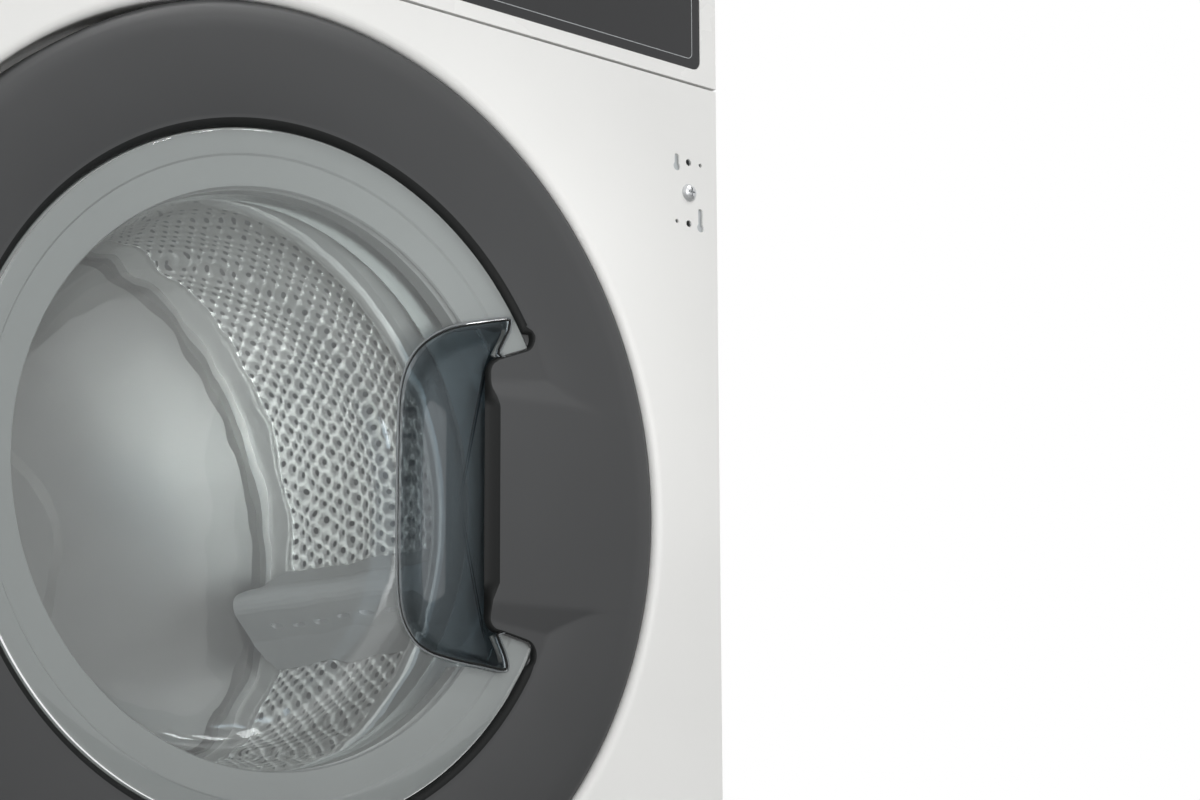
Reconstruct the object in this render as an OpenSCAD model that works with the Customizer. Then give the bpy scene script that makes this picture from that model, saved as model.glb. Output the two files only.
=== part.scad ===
// Built-in washer dryer: front-loading drum in a sprung tub, glazed round door set in a dished front
// panel, detergent drawer, program knob and a dark control insert.
// +Z up, the front faces -Y, and the origin is the centre of the footprint on the floor.

/* [Cabinet] */
// Width over the side panels
cab_w = 595; // [560:1:640]
// Height over the top plate
cab_h = 818; // [800:1:860]
// Depth from the front plane to the screw heads at the back
cab_d = 540; // [530:1:600]
// Sheet thickness of the panels
sheet_t = 1.2; // [0.8:0.1:1.6]
// Height of the control fascia
fascia_h = 118; // [110:1:130]
// Gap between the fascia and the front panel
seam_gap = 1.6; // [1:0.1:3]
// Height of the plinth recess
plinth_h = 100; // [90:1:120]
// Depth of the plinth recess
plinth_d = 60; // [45:1:75]
// Height of the base tray above the floor
ride_h = 14; // [12:1:30]

/* [Door] */
// Outer radius of the door ring
door_r = 245; // [235:1:250]
// Drop from the seam to the middle of the door
door_drop = 267.2; // [266:0.1:280]
// Running gap round the door ring
door_gap = 2.8; // [2.5:0.1:5]
// Radius of the rolled edge of the dish
dish_round = 5.5; // [4:0.5:7]
// Depth of the dish round the door
dish_depth = 36; // [36:1:42]
// Radius of the clear cover
cover_r = 180.4; // [176:0.1:184]
// Thickness of the clear cover
cover_t = 3; // [2:0.5:4]
// Depth of the ring's crown behind the front plane
crown_d = 0.8; // [0.5:0.1:2]
// Depth of the ring's inner edge behind the front plane
inner_d = 8; // [6:0.5:9]
// Depth of the back of the ring
ring_back = 15.5; // [15:0.5:17]
// Distance of the hinge axis from the middle of the door
hinge_x = 225; // [222:1:227]
// Depth of the hinge axis
hinge_d = 4.6; // [4.2:0.1:4.8]
// Radius of the hinge pin
pin_r = 2; // [1.5:0.1:2.5]
// Running clearance of pins and shafts
run_gap = 0.05; // [0.03:0.01:0.1]

/* [Grip] */
// Left edge of the grip plate from the middle of the door
grip_x = 126; // [120:1:132]
// Half height of the grip plate's straight edge
grip_h = 60; // [50:1:66]
// Left edge of the finger pocket from the middle of the door
pocket_x = 70; // [60:1:80]
// Where the sloping side of the finger pocket meets its floor
scoop_x = 100; // [90:1:106]
// Depth of the floor of the finger pocket
pocket_d = 27.5; // [25:0.5:28]
// Wall of the finger pocket
pocket_t = 2.5; // [2:0.1:3]

/* [Glass bowl] */
// Outer radius of the bowl at its mouth
bowl_r = 156; // [150:1:158]
// Outer radius of the bowl near its floor
bowl_end_r = 124; // [115:1:130]
// Depth of the bowl's floor behind the front plane
bowl_d = 108; // [95:1:110]
// Thickness of the glass
glass_t = 4; // [3:0.5:5]

/* [Drum] */
// Outer radius of the drum
drum_r = 238; // [230:1:240]
// Length of the drum in a cabinet of the usual depth
drum_len = 296; // [280:1:300]
// Depth of the drum's front edge
drum_front_d = 104; // [102:1:110]
// Radius of the drum's mouth
drum_mouth_r = 170; // [160:1:174]
// Height of a lifter
lifter_h = 52; // [40:1:56]
// Thickness of the drum's steel
drum_t = 1.2; // [0.8:0.1:1.5]
// Turn of the first lifter from straight down
lifter_turn = 38; // [0:1:119]
// Radius of the shaft
shaft_r = 15; // [12.5:0.5:16]

/* [Tub] */
// Outer radius of the tub
tub_r = 262; // [260:1:264]
// Wall of the tub
tub_t = 4; // [3:0.5:5]
// Depth of the joint between the tub halves
tub_split_d = 246; // [240:1:256]
// Travel of the tub each way on its springs
tub_travel = 8; // [5:1:10]
// Radius of the spring that carries the tub
spring_r = 12; // [10:1:14]

/* [Drive] */
// Radius of the large pulley
pulley_r = 140; // [125:1:145]
// Radius of the motor's pulley
motor_pulley_r = 11; // [9:0.5:14]
// Width of the belt
belt_w = 14; // [10:1:16]
// Thickness of the belt
belt_t = 4; // [3:0.5:5]
// Sideways place of the motor
motor_x = 85; // [60:1:95]
// Height of the motor's axis
motor_z = 105; // [100:1:110]
// Radius of the motor
motor_r = 62; // [55:1:64]

/* [Controls] */
// Margin of white round the dark control insert
insert_margin = 10.4; // [8:0.1:14]
// Gap of the dark insert from the side of the machine
insert_side = 13; // [10:0.5:20]
// Corner radius of the control insert
insert_round = 6; // [4:0.5:8]
// Width of the drawer front
drawer_w = 158; // [140:1:165]
// Radius of the program knob
knob_r = 23; // [18:1:26]
// How far the knob stands out
knob_out = 14; // [10:1:20]
// Radius of a push button
button_r = 8; // [6:0.5:9]
// Travel of a push button
button_travel = 1.5; // [1:0.1:2]

/* [Door fixings] */
// Distance of the furniture hinge holes from the side of the machine
hole_side = 23.2; // [20:0.1:28]
// Distance between the two rows of hinge holes
hole_rows = 38; // [30:1:45]
// Height of the hinge holes above and below the middle of the door
hole_rise = 199; // [185:1:205]
// Radius of a hinge hole
hole_r = 2.1; // [1.8:0.1:2.6]

/* [Feet] */
// Radius of a foot's pad
foot_r = 20; // [16:1:24]
// Height of a foot's pad
pad_h = 10; // [8:1:11]
// Radius of a foot's stud
stud_r = 5; // [4:0.5:6]
// Distance of the feet from the sides
foot_in = 35; // [32:1:50]

/* [Hidden] */
$fn = 96;
eps = 0.01;
fit = 0.3;
front_y = (knob_out - cab_d) / 2;
seam_z = cab_h - fascia_h;
door_z = seam_z - door_drop;
half_w = cab_w / 2;
wall_x = half_w - sheet_t;
dish_r = door_r + door_gap;
dish_edge_r = dish_r + dish_round;
collar_r = cover_r + 9.6;
collar_end_d = dish_depth + 10;
frame_r = hinge_x - 11;
frame_back_d = dish_depth - 5;
hinge_half = 38;
knuckle_r = pin_r + 1.5;
arm_half = 13.7;
usual_d = 540;
drum_l = drum_len + cab_d - usual_d;
drum_end_d = drum_front_d + drum_l;
tub_front_d = drum_front_d - 12;
tub_mouth_r = drum_mouth_r + 15;
tub_back_d = drum_end_d + 28;
boss_end_d = tub_back_d + 42;
tub_flange_r = tub_r + 10;
pulley_d = boss_end_d + 7;
pulley_w = belt_w + 6;
rear_in_d = cab_d - 5.2;
plate_top = cab_h - sheet_t;
lug_x = tub_r - 24;
damper_x = 150;
damper_d = tub_split_d + 9;
sump_x = 150;
sump_d = plinth_d + 70;
filter_z = ride_h + 48;
filter_r = 32;
sump_top = door_z - sqrt(pow(tub_r, 2) - pow(sump_x, 2));
sump_room = sump_top - filter_z - filter_r;
lug_low = door_z - sqrt(pow(tub_r - 2, 2) - pow(damper_x, 2)) - 24;
damper_top = ride_h + 2 + 0.6 * (lug_low - ride_h - 14);
insert_right = half_w - insert_side;
drawer_left = -half_w + insert_margin;
drawer_right = drawer_left + drawer_w;
insert_left = drawer_right + insert_margin;
insert_low = seam_z + insert_margin;
insert_top = cab_h - insert_margin;
control_z = (insert_low + insert_top) / 2;
knob_x = insert_left + 62;
on_x = insert_left + 18;
start_x = insert_right - 46;
tray_depth = 190;
duct_x = 110;
duct_top = cab_h - 32;
fan_d = tub_back_d - 77;
fan_r = 66;
feet_x = half_w - foot_in;
foot_front_d = plinth_d + 32;
foot_back_d = cab_d - 44;

function arc(cx, cy, r, a0, a1, n = 6) =
    [for (i = [0 : n]) [cx + r * cos(a0 + (a1 - a0) * i / n), cy + r * sin(a0 + (a1 - a0) * i / n)]];

// An upright plate whose outline is drawn as x and height, from depth d to d + t
module plate(d, t) {
    translate([0, front_y + d + t, 0]) rotate([90, 0, 0]) linear_extrude(t) children();
}

// A turned form about a fore-and-aft axis, whose section is drawn as radius and depth
module turned(x = 0, z = door_z) {
    translate([x, front_y, z]) rotate([-90, 0, 0]) rotate_extrude() children();
}

// A fore-and-aft rod from depth d to d + len
module rod(x, z, r, d, len) {
    translate([x, front_y + d, z]) rotate([-90, 0, 0]) cylinder(r = r, h = len);
}

// Outline of a rectangle with rounded corners
function rrect(x0, z0, x1, z1, r, n = 5) = concat(
    arc(x1 - r, z0 + r, r, -90, 0, n), arc(x1 - r, z1 - r, r, 0, 90, n),
    arc(x0 + r, z1 - r, r, 90, 180, n), arc(x0 + r, z0 + r, r, 180, 270, n));

// Outline of the side sheet as depth and height, with the plinth notch and the step behind the fascia
function side_outline(in_front) = [
    [plinth_d, ride_h], [rear_in_d, ride_h], [rear_in_d, plate_top],
    [26, plate_top], [26, seam_z - 2], [in_front, seam_z - 2],
    [in_front, plinth_h], [plinth_d, plinth_h]];

// A side sheet with folded edges and three long beads pressed inwards
module side_sheet() {
    bead_in = 2;
    bead_w = 46;
    bead_low = plinth_h + 80;
    bead_len = seam_z - bead_low - 80;
    difference() {
        union() {
            translate([-half_w, front_y, 0]) rotate([90, 0, 90])
                linear_extrude(sheet_t) polygon(side_outline(sheet_t + fit));
            translate([-half_w, front_y + sheet_t + fit, plinth_h])
                cube([10, sheet_t, seam_z - 2 - plinth_h]);
            translate([-half_w, front_y + rear_in_d - sheet_t, ride_h])
                cube([16, sheet_t, plate_top - ride_h]);
            translate([-half_w, front_y + plinth_d, ride_h]) cube([16, sheet_t, plinth_h - ride_h]);
            for (y = [110, 240, 370])
                translate([-half_w + eps, front_y + y, bead_low])
                    cube([sheet_t + bead_in, bead_w, bead_len]);
        }
        for (y = [110, 240, 370])
            translate([-half_w - 1, front_y + y + sheet_t, bead_low + sheet_t])
                cube([1 + bead_in, bead_w - 2 * sheet_t, bead_len - 2 * sheet_t]);
    }
}

module side_left() {
    color("gainsboro") side_sheet();
}

module side_right() {
    color("gainsboro") mirror([1, 0, 0]) side_sheet();
}

// Back sheet with the access opening, louvres and the collars of the water, drain and mains lines
access = [-190, 110, 190, 640];
gland_x = half_w - 62;
gland_z = cab_h - 55;
outlet_z = cab_h - 118;
valve_x = -190;
valve_z = cab_h - 55;

module rear_panel() {
    color("silver") {
        difference() {
            plate(rear_in_d, sheet_t)
                polygon(rrect(-half_w + 1, ride_h, half_w - 1, plate_top, 3));
            plate(rear_in_d - 1, sheet_t + 2)
                polygon(rrect(access[0], access[1], access[2], access[3], 30));
            for (x = [-16, 16])
                rod(valve_x + x, valve_z, 13.6, rear_in_d - 1, 4);
            rod(gland_x, gland_z, 8, rear_in_d - 1, 4);
            rod(gland_x, outlet_z, 13, rear_in_d - 1, 4);
            for (p = rear_screws())
                rod(p[0], p[1], 2, rear_in_d - 1, 4);
            for (i = [0 : 6])
                plate(rear_in_d - 1, sheet_t + 2) polygon(
                    rrect(gland_x - 24, 180 + i * 14, gland_x + 24, 184 + i * 14, 1.9, 3));
        }
        turned(gland_x, gland_z)
            polygon([[5, rear_in_d - 9], [8, rear_in_d - 9], [8, rear_in_d + sheet_t],
                [9.5, rear_in_d + sheet_t], [9.5, cab_d - 1], [5, cab_d - 1]]);
        turned(gland_x, outlet_z)
            polygon([[10, rear_in_d - 14], [13, rear_in_d - 14], [13, rear_in_d + sheet_t],
                [15, rear_in_d + sheet_t], [15, cab_d - 1], [10, cab_d - 1]]);
    }
}

// Screwed cover over the back opening, with a shallow raised field
cover_lap = 14;
cover_rise = 2;

module access_cover() {
    at = rear_in_d + sheet_t;
    color("lightgray") difference() {
        union() {
            plate(at, sheet_t) polygon(rrect(access[0] - cover_lap, access[1] - cover_lap,
                access[2] + cover_lap, access[3] + cover_lap, 34));
            plate(at, sheet_t + cover_rise)
                polygon(rrect(access[0] + 12, access[1] + 12, access[2] - 12, access[3] - 12, 24));
        }
        plate(at - 1, 1 + cover_rise)
            polygon(rrect(access[0] + 14, access[1] + 14, access[2] - 14, access[3] - 14, 22));
        for (p = rear_screws())
            rod(p[0], p[1], 2.2, at - 1, sheet_t + 2);
    }
}

function rear_screws() = [
    for (x = [access[0] - 6, 0, access[2] + 6]) for (z = [access[1] - 6, access[3] + 6]) [x, z]];

// Screw head and shank, turned about its own axis, with a cross slot
module pan_screw(x, z, head_r, head_h, at, way) {
    difference() {
        turned(x, z) polygon([[0, at - way * head_h], [head_r * 0.45, at - way * head_h * 0.96],
            [head_r * 0.8, at - way * head_h * 0.7], [head_r, at - way * head_h * 0.25],
            [head_r, at], [1.9, at], [1.9, at + way * 6], [0, at + way * 6]]);
        for (a = [0, 90])
            translate([x, front_y + at - way * head_h, z]) rotate([0, a, 0])
                cube([head_r * 1.05, head_h * 1.1, 1.1], center = true);
    }
}

module panel_screws() {
    color("silver") {
        for (sx = [-1, 1]) for (sz = [-1, 1])
            pan_screw(sx * (half_w - hole_side), door_z + sz * hole_rise, 5.3, 3.2, 0, 1);
        for (p = rear_screws())
            pan_screw(p[0], p[1], 4.5, cab_d - rear_in_d - 2 * sheet_t,
                rear_in_d + 2 * sheet_t, -1);
    }
}

// Pressed pan that carries the feet and the dampers
module base_tray() {
    inner = wall_x - fit;
    deep = rear_in_d - sheet_t - plinth_d - sheet_t - 2 * fit;
    color("darkgray") difference() {
        union() {
            translate([-inner, front_y + plinth_d + sheet_t + fit, ride_h])
                cube([2 * inner, deep, 26]);
            for (x = [-feet_x, feet_x]) for (d = [foot_front_d, foot_back_d])
                translate([x, front_y + d, ride_h]) cylinder(r = 13, h = 30);
        }
        difference() {
            translate([-inner + 2, front_y + plinth_d + sheet_t + fit + 2, ride_h + 2])
                cube([2 * inner - 4, deep - 4, 40]);
            for (x = [-feet_x, feet_x]) for (d = [foot_front_d, foot_back_d])
                translate([x, front_y + d, ride_h]) cylinder(r = 13, h = 30);
        }
        for (x = [-feet_x, feet_x]) for (d = [foot_front_d, foot_back_d])
            translate([x, front_y + d, ride_h - 1]) cylinder(r = stud_r + fit, h = 40);
        translate([sump_x - filter_r - 5, front_y + plinth_d, filter_z - filter_r - 3])
            cube([2 * filter_r + 10, 8, 60]);
    }
}

// Height-adjusting foot: pad, lock nut and stud
module foot(x, d) {
    translate([x, front_y + d, 0]) {
        rotate_extrude() polygon([[0, 0], [foot_r - 1, 0], [foot_r, 1.5], [foot_r, pad_h * 0.6],
            [foot_r * 0.55, pad_h], [0, pad_h]]);
        translate([0, 0, pad_h - eps]) cylinder(r = 9, h = ride_h - pad_h - fit + eps, $fn = 6);
        cylinder(r = stud_r, h = ride_h + 84);
    }
}

module foot_front_left() {
    color("dimgray") foot(-feet_x, foot_front_d);
}

module foot_front_right() {
    color("dimgray") foot(feet_x, foot_front_d);
}

module foot_back_left() {
    color("dimgray") foot(-feet_x, foot_back_d);
}

module foot_back_right() {
    color("dimgray") foot(feet_x, foot_back_d);
}

// Top sheet with a folded rim and two long grooves
module top_plate() {
    rim = wall_x - fit;
    deep = rear_in_d + sheet_t - 26;
    color("gainsboro") difference() {
        union() {
            translate([-half_w, front_y + 26, plate_top]) cube([2 * half_w, deep, sheet_t]);
            for (s = [-1, 1])
                translate([s * rim - (s > 0 ? sheet_t : 0), front_y + 66, plate_top - 14])
                    cube([sheet_t, rear_in_d - 60 - 66, 14 + eps]);
            for (x = [-150, 130])
                translate([x, front_y + 90, plate_top - 1.5]) cube([20, 360, 1.5 + eps]);
        }
        for (x = [-150, 130])
            translate([x + sheet_t, front_y + 90 + sheet_t, cab_h - 1.5])
                cube([20 - 2 * sheet_t, 360 - 2 * sheet_t, 2]);
    }
}

// Keyhole slot of the hinge-hole pattern, in plan as x and height
module keyhole(x, z, len) {
    translate([x, z]) {
        circle(r = 2.7);
        translate([-1.8, 0]) square([3.6, len]);
        translate([0, len]) circle(r = 1.8);
    }
}

// Hole pattern for a furniture hinge, the same when turned half round about its screw
module hinge_holes() {
    half = hole_rows / 2;
    circle(r = hole_r);
    for (s = [1, -1]) {
        translate([0, s * half]) circle(r = hole_r);
        translate([s * 9.7, s * half]) circle(r = 1.25);
    }
    keyhole(-9.5, half - 4, 6);
    keyhole(9.5, -half - 1, 10);
}

hook_x = frame_r + 6;
slot_in = 9.5;
slot_out = 14;

// Front panel with the round dish that the door closes into
module front_panel() {
    r4 = 4;
    ri = dish_round - sheet_t;
    ro = r4 + sheet_t;
    color("white") difference() {
        union() {
            difference() {
                plate(0, sheet_t)
                    translate([-half_w, plinth_h]) square([2 * half_w, seam_z - plinth_h]);
                translate([0, front_y - 1, door_z]) rotate([-90, 0, 0])
                    cylinder(r = dish_edge_r + 3, h = 5);
            }
            turned() polygon(concat(
                [[dish_edge_r + 3, 0]], arc(dish_edge_r, dish_round, dish_round, 270, 180, 8),
                arc(dish_r - r4, dish_depth - r4, r4, 0, 90, 4),
                [[collar_r + sheet_t, dish_depth], [collar_r, dish_depth + 1.5],
                [collar_r, collar_end_d], [collar_r + sheet_t, collar_end_d],
                [collar_r + sheet_t, dish_depth + sheet_t]],
                arc(dish_r - r4, dish_depth - r4, ro, 90, 0, 4),
                arc(dish_edge_r, dish_round, ri, 180, 270, 8), [[dish_edge_r + 3, sheet_t]]));
            translate([-half_w, front_y + eps, seam_z - sheet_t])
                cube([2 * half_w, 24, sheet_t]);
            translate([-half_w + 12, front_y + eps, plinth_h])
                cube([2 * half_w - 24, plinth_d - sheet_t - fit, sheet_t]);
        }
        for (sx = [-1, 1]) for (sz = [-1, 1])
            plate(-1, sheet_t + 2) translate([sx * (half_w - hole_side), door_z + sz * hole_rise])
                mirror([sx > 0 ? 0 : 1, 0]) hinge_holes();
        plate(dish_depth - 2, 6) translate([hook_x - slot_in, door_z - 9])
            square([slot_in + slot_out, 18]);
    }
}

// Recessed kick panel with the opening for the filter cap
module plinth_panel() {
    color("gray") difference() {
        plate(plinth_d - sheet_t, sheet_t)
            translate([-wall_x + fit, ride_h]) square([2 * (wall_x - fit), plinth_h - ride_h]);
        rod(sump_x, filter_z, filter_r + 3, plinth_d - 5, 10);
    }
}

// Cross members under the top sheet and the two brackets that the springs hang from
bracket_z = cab_h - 44;

module top_braces() {
    inner = wall_x - fit;
    color("silver") {
        for (d = [32, rear_in_d - 54]) difference() {
            translate([-inner, front_y + d, cab_h - 24]) cube([2 * inner, 30, 24 - sheet_t]);
            translate([-inner - 1, front_y + d + 2, cab_h - 25]) cube([2 * inner + 2, 26, 22]);
        }
        for (s = [0, 1]) mirror([s, 0, 0]) difference() {
            union() {
                translate([lug_x - 16, front_y + tub_split_d - 30, bracket_z])
                    cube([inner - lug_x + 16, 50, 3]);
                translate([inner - 3, front_y + tub_split_d - 30, bracket_z - 30])
                    cube([3, 50, 33]);
                translate([lug_x - 16, front_y + tub_split_d - 30, bracket_z])
                    cube([inner - lug_x + 16, 3, 26]);
            }
            translate([lug_x, front_y + tub_split_d - 6, bracket_z - 1]) cylinder(r = 2 + fit, h = 5);
        }
    }
}

// White fascia frame with openings for the drawer and the dark insert
module control_fascia() {
    low = seam_z + seam_gap;
    skin = 2.5;
    back = 25;
    color("white") difference() {
        translate([-half_w, front_y, low]) cube([2 * half_w, back, cab_h - low]);
        translate([-half_w + skin, front_y + skin, low + skin])
            cube([2 * (half_w - skin), back, cab_h - low - 2 * skin]);
        plate(-1, skin + 2)
            polygon(rrect(drawer_left, insert_low, drawer_right, insert_top, insert_round));
        plate(-1, skin + 2)
            polygon(rrect(insert_left, insert_low, insert_right, insert_top, insert_round));
    }
}

insert_t = 3;
insert_d = 0.4;
board_d = 15;

// Dark glossy insert with the holes for the knob's spindle and the buttons, and posts for the board
module control_insert() {
    g = 0.15;
    color("#2e3134") difference() {
        union() {
            plate(insert_d, insert_t) polygon(rrect(insert_left + g, insert_low + g,
                insert_right - g, insert_top - g, insert_round));
            for (x = [insert_left + 12, insert_right - 12]) for (z = [insert_low + 12, insert_top - 12])
                rod(x, z, 3, insert_d + insert_t, board_d - insert_d - insert_t);
        }
        rod(knob_x, control_z, 3 + fit, -1, 8);
        for (x = [on_x, start_x])
            rod(x, control_z, button_r + fit, -1, 8);
    }
}

// Circuit board with the encoder, the button switches, the display and the taller parts behind
module control_board() {
    display = [knob_x + 52, control_z - 17, start_x - 44, control_z + 19];
    color("seagreen") difference() {
        union() {
            plate(board_d, 1.6) polygon(rrect(insert_left + 4, insert_low + 5,
                insert_right - 4, insert_top - 5, 3));
            plate(board_d - 6, 6) translate([knob_x - 7, control_z - 7]) square(14);
            for (x = [on_x, start_x])
                plate(board_d - 1.2, 1.2) translate([x - 4, control_z - 4]) square(8);
            plate(insert_d + insert_t + fit, board_d - insert_d - insert_t - fit)
                polygon(rrect(display[0], display[1], display[2], display[3], 2));
            for (i = [0 : 3])
                plate(board_d + 1.6, 9) translate([insert_left + 30 + i * 34, control_z - 30])
                    square([20, 16]);
            plate(board_d + 1.6, 7) translate([start_x - 60, control_z - 20]) square([36, 30]);
            for (x = [start_x - 96, start_x - 78])
                rod(x, control_z + 18, 6, board_d + 1.6, 9);
        }
        rod(knob_x, control_z, 3 + run_gap, board_d - 7, 6);
    }
}

// Program knob with a scalloped rim, a raised bar and its spindle
module program_knob() {
    face_d = insert_d - fit;
    color("gainsboro") {
        difference() {
            turned(knob_x, control_z) polygon(concat([[0, face_d], [knob_r, face_d],
                [knob_r, face_d - 3]], arc(knob_r - 4.5, 3 - knob_out, 3, 0, -90, 4),
                [[knob_r - 6, 1.2 - knob_out], [0, 1.2 - knob_out]]));
            for (i = [0 : 23]) rotate_about_y(knob_x, control_z, i * 15)
                rod(knob_r + 0.7, 0, 1.4, -knob_out - 1, knob_out - 3);
        }
        plate(-knob_out, 1.2 + eps) polygon(rrect(knob_x - 1.5, control_z + 2,
            knob_x + 1.5, control_z + knob_r - 7, 1.4));
        rod(knob_x, control_z, 3, face_d - eps, board_d - 1.6 - face_d);
    }
}

// Places children about a fore-and-aft axis after a turn
module rotate_about_y(x, z, a) {
    translate([x, 0, z]) rotate([0, a, 0]) children();
}

// Round push button with a shallow hollow, a collar behind the insert and a stem to its switch
module push_button(x) {
    collar_d = insert_d + insert_t + 0.6;
    turned(x, control_z) polygon([[0, -0.8], [button_r * 0.6, -1.0], [button_r - 0.8, -1.6],
        [button_r, -0.9], [button_r, collar_d], [button_r + 1.4, collar_d],
        [button_r + 1.4, collar_d + 1.4], [2, collar_d + 1.4],
        [2, board_d - 1.2 - button_travel - fit], [0, board_d - 1.2 - button_travel - fit]]);
}

module on_off_button() {
    color("gainsboro") push_button(on_x);
}

module start_button() {
    color("gainsboro") push_button(start_x);
}

tray_x0 = drawer_left + 6;
tray_x1 = drawer_right - 6;
tray_z0 = insert_low + 6;
tray_z1 = insert_top - 24;
front_t = 3;

// Drawer front, flush with the fascia, with a finger scoop along its lower edge
module drawer_front() {
    g = 0.7;
    mid = (drawer_left + drawer_right) / 2;
    color("white") {
        difference() {
            plate(0, front_t) polygon(rrect(drawer_left + g, insert_low + g,
                drawer_right - g, insert_top - g, insert_round - g));
            translate([mid, front_y - 9, insert_low + g]) rotate([0, 90, 0])
                cylinder(r = 11, h = drawer_w * 0.56, center = true);
        }
        difference() {
            plate(front_t - eps, 7 + eps) polygon(rrect(tray_x0, tray_z0, tray_x1, tray_z1, 4));
            plate(front_t, 8) polygon(rrect(tray_x0 + 2, tray_z0 + 2, tray_x1 - 2, tray_z1 - 2, 2));
        }
    }
}

// Open tray with three compartments, sliding on ribs under it and at its sides
module drawer_tray() {
    w = tray_x1 - tray_x0;
    h = tray_z1 - tray_z0;
    rib = 4.6;
    color("ghostwhite") difference() {
        union() {
            translate([tray_x0, front_y + front_t + 7, tray_z0]) cube([w, tray_depth, h]);
            for (x = [tray_x0 + 6, tray_x1 - 9])
                translate([x, front_y + front_t + 12, tray_z0 - rib]) cube([3, tray_depth - 5, rib + 1]);
            for (x = [tray_x0 - rib, tray_x1 - eps])
                translate([x, front_y + front_t + 12, tray_z1 - 12]) cube([rib + eps, tray_depth - 5, 4]);
        }
        for (c = tray_cells())
            translate([c[0], c[1], c[2]]) cube([c[3], c[4], h]);
    }
}

// Compartments as corner and width and depth: prewash at the right, wash at the left, softener between
function tray_cells() = let (w = tray_x1 - tray_x0 - 4, y = front_y + front_t + 9, z = tray_z0 + 2) [
    [tray_x0 + 2, y, z, w * 0.42, tray_depth - 4],
    [tray_x0 + 4 + w * 0.42, y, z, w * 0.26, tray_depth - 4],
    [tray_x0 + 6 + w * 0.68, y, z, w * 0.32 - 4, tray_depth - 4]];

spout_x = (tray_x0 + tray_x1) / 2;
spout_d = 150;
housing_back = front_t + 7 + tray_depth + 12;

// Housing that the drawer slides in, with the spout under it and the water inlet at its back
module drawer_housing() {
    x0 = tray_x0 - 7;
    x1 = tray_x1 + 7;
    z0 = tray_z0 - 7;
    z1 = cab_h - 25;
    color("whitesmoke") difference() {
        union() {
            translate([x0, front_y + front_t + fit, z0])
                cube([x1 - x0, housing_back - front_t - fit, z1 - z0]);
            translate([spout_x, front_y + spout_d, z0 - 14]) cylinder(r = 18, h = 15);
        }
        translate([x0 + 2, front_y, z0 + 2]) cube([x1 - x0 - 4, housing_back - 2, z1 - z0 - 4]);
        translate([spout_x, front_y + spout_d, z0 - 15]) cylinder(r = 15, h = 20);
        rod(valve_x, valve_z, 6, housing_back - 5, 10);
    }
}

// Two-coil inlet valve with its threaded spigots and the pipe to the drawer housing
module inlet_valve() {
    color("whitesmoke") {
        plate(rear_in_d - 42, 30) polygon(rrect(valve_x - 32, valve_z - 16,
            valve_x + 32, valve_z + 14, 5));
        for (x = [-16, 16]) {
            turned(valve_x + x, valve_z) polygon([[8, rear_in_d - 13], [13.2, rear_in_d - 13],
                [13.2, rear_in_d + 3], [12, rear_in_d + 4], [8, rear_in_d + 4]]);
            translate([valve_x + x, front_y + rear_in_d - 27, valve_z + 13]) cylinder(r = 11, h = 14);
        }
        difference() {
            rod(valve_x, valve_z, 8, housing_back + 0.2, rear_in_d - 42 - housing_back);
            rod(valve_x, valve_z, 6, housing_back - 1, rear_in_d - 50 - housing_back);
        }
    }
}

// Door ring: dished satin ring with a broad grip plate reaching in at the right, hollow behind the grip
cover_seat = inner_d + cover_t + 0.2;
ring_in = cover_r + 0.4;
crown_r = door_r - 15;
grip_d = 1.2;
grip_back = 10;
hollow_rise = 50;
lip_r = ring_in + 4.2;
lip_d = inner_d - 1.4;

function dish_line(n = 8) = [for (i = [0 : n]) let (s = i / n)
    [crown_r + (lip_r - crown_r) * s, crown_d + (lip_d - crown_d) * pow(s, 2)]];

function grip_outline() = concat(
    [[grip_x + 33, grip_h + 36], [grip_x + 24, grip_h + 26], [grip_x + 16, grip_h + 22]],
    arc(grip_x + 7, grip_h + 12, 7, 90, 180, 5), arc(grip_x + 8, -grip_h - 4, 8, 180, 270, 5),
    [[grip_x + 21, -grip_h - 15], [grip_x + 30, -grip_h - 23]],
    arc(0, 0, crown_r - 4, -20, 20, 8));

// Grip plate, which leans back towards the pocket and ramps down into the dish above and below
module grip_plate() {
    lean = 2.1;
    ramp = 15;
    reach = 130;
    difference() {
        plate(grip_d, grip_back - grip_d) translate([0, door_z]) polygon(grip_outline());
        intersection() {
            translate([crown_r - 8, front_y + grip_d, door_z]) rotate([0, 0, -lean]) {
                translate([-reach, -20, -reach]) cube([reach, 20, 2 * reach]);
                for (s = [0, 1]) mirror([0, 0, s]) translate([-reach, 0, grip_h - 3])
                    rotate([-ramp, 0, 0]) translate([0, -20, 0]) cube([reach, 20, 60]);
            }
            translate([0, front_y - 20, door_z - reach]) cube([crown_r, 20 + inner_d, 2 * reach]);
        }
    }
}

module door_ring() {
    color("dimgray") difference() {
        union() {
            turned() polygon(concat(
                [[door_r, ring_back], [door_r, 6.4], [door_r - 0.8, 4.4], [door_r - 3, 2.7],
                [door_r - 7, 1.5]], dish_line(),
                [[ring_in + 1.6, inner_d - 0.2], [ring_in + 0.4, inner_d + 0.8], [ring_in, inner_d + 2],
                [ring_in, cover_seat], [ring_in - 5.4, cover_seat], [ring_in - 5.4, ring_back]]));
            grip_plate();
        }
        intersection() {
            translate([grip_x, front_y + grip_back, door_z - grip_h - hollow_rise])
                cube([crown_r - 14 - grip_x, ring_back - grip_back + 1, 2 * (grip_h + hollow_rise)]);
            rod(0, door_z, crown_r - 6, 0, ring_back + 5);
        }
        translate([-door_r - 5, front_y - 1, door_z - hinge_half - 1])
            cube([door_r + 5 - hinge_x + 5, ring_back + 2, 2 * hinge_half + 2]);
    }
}

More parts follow.
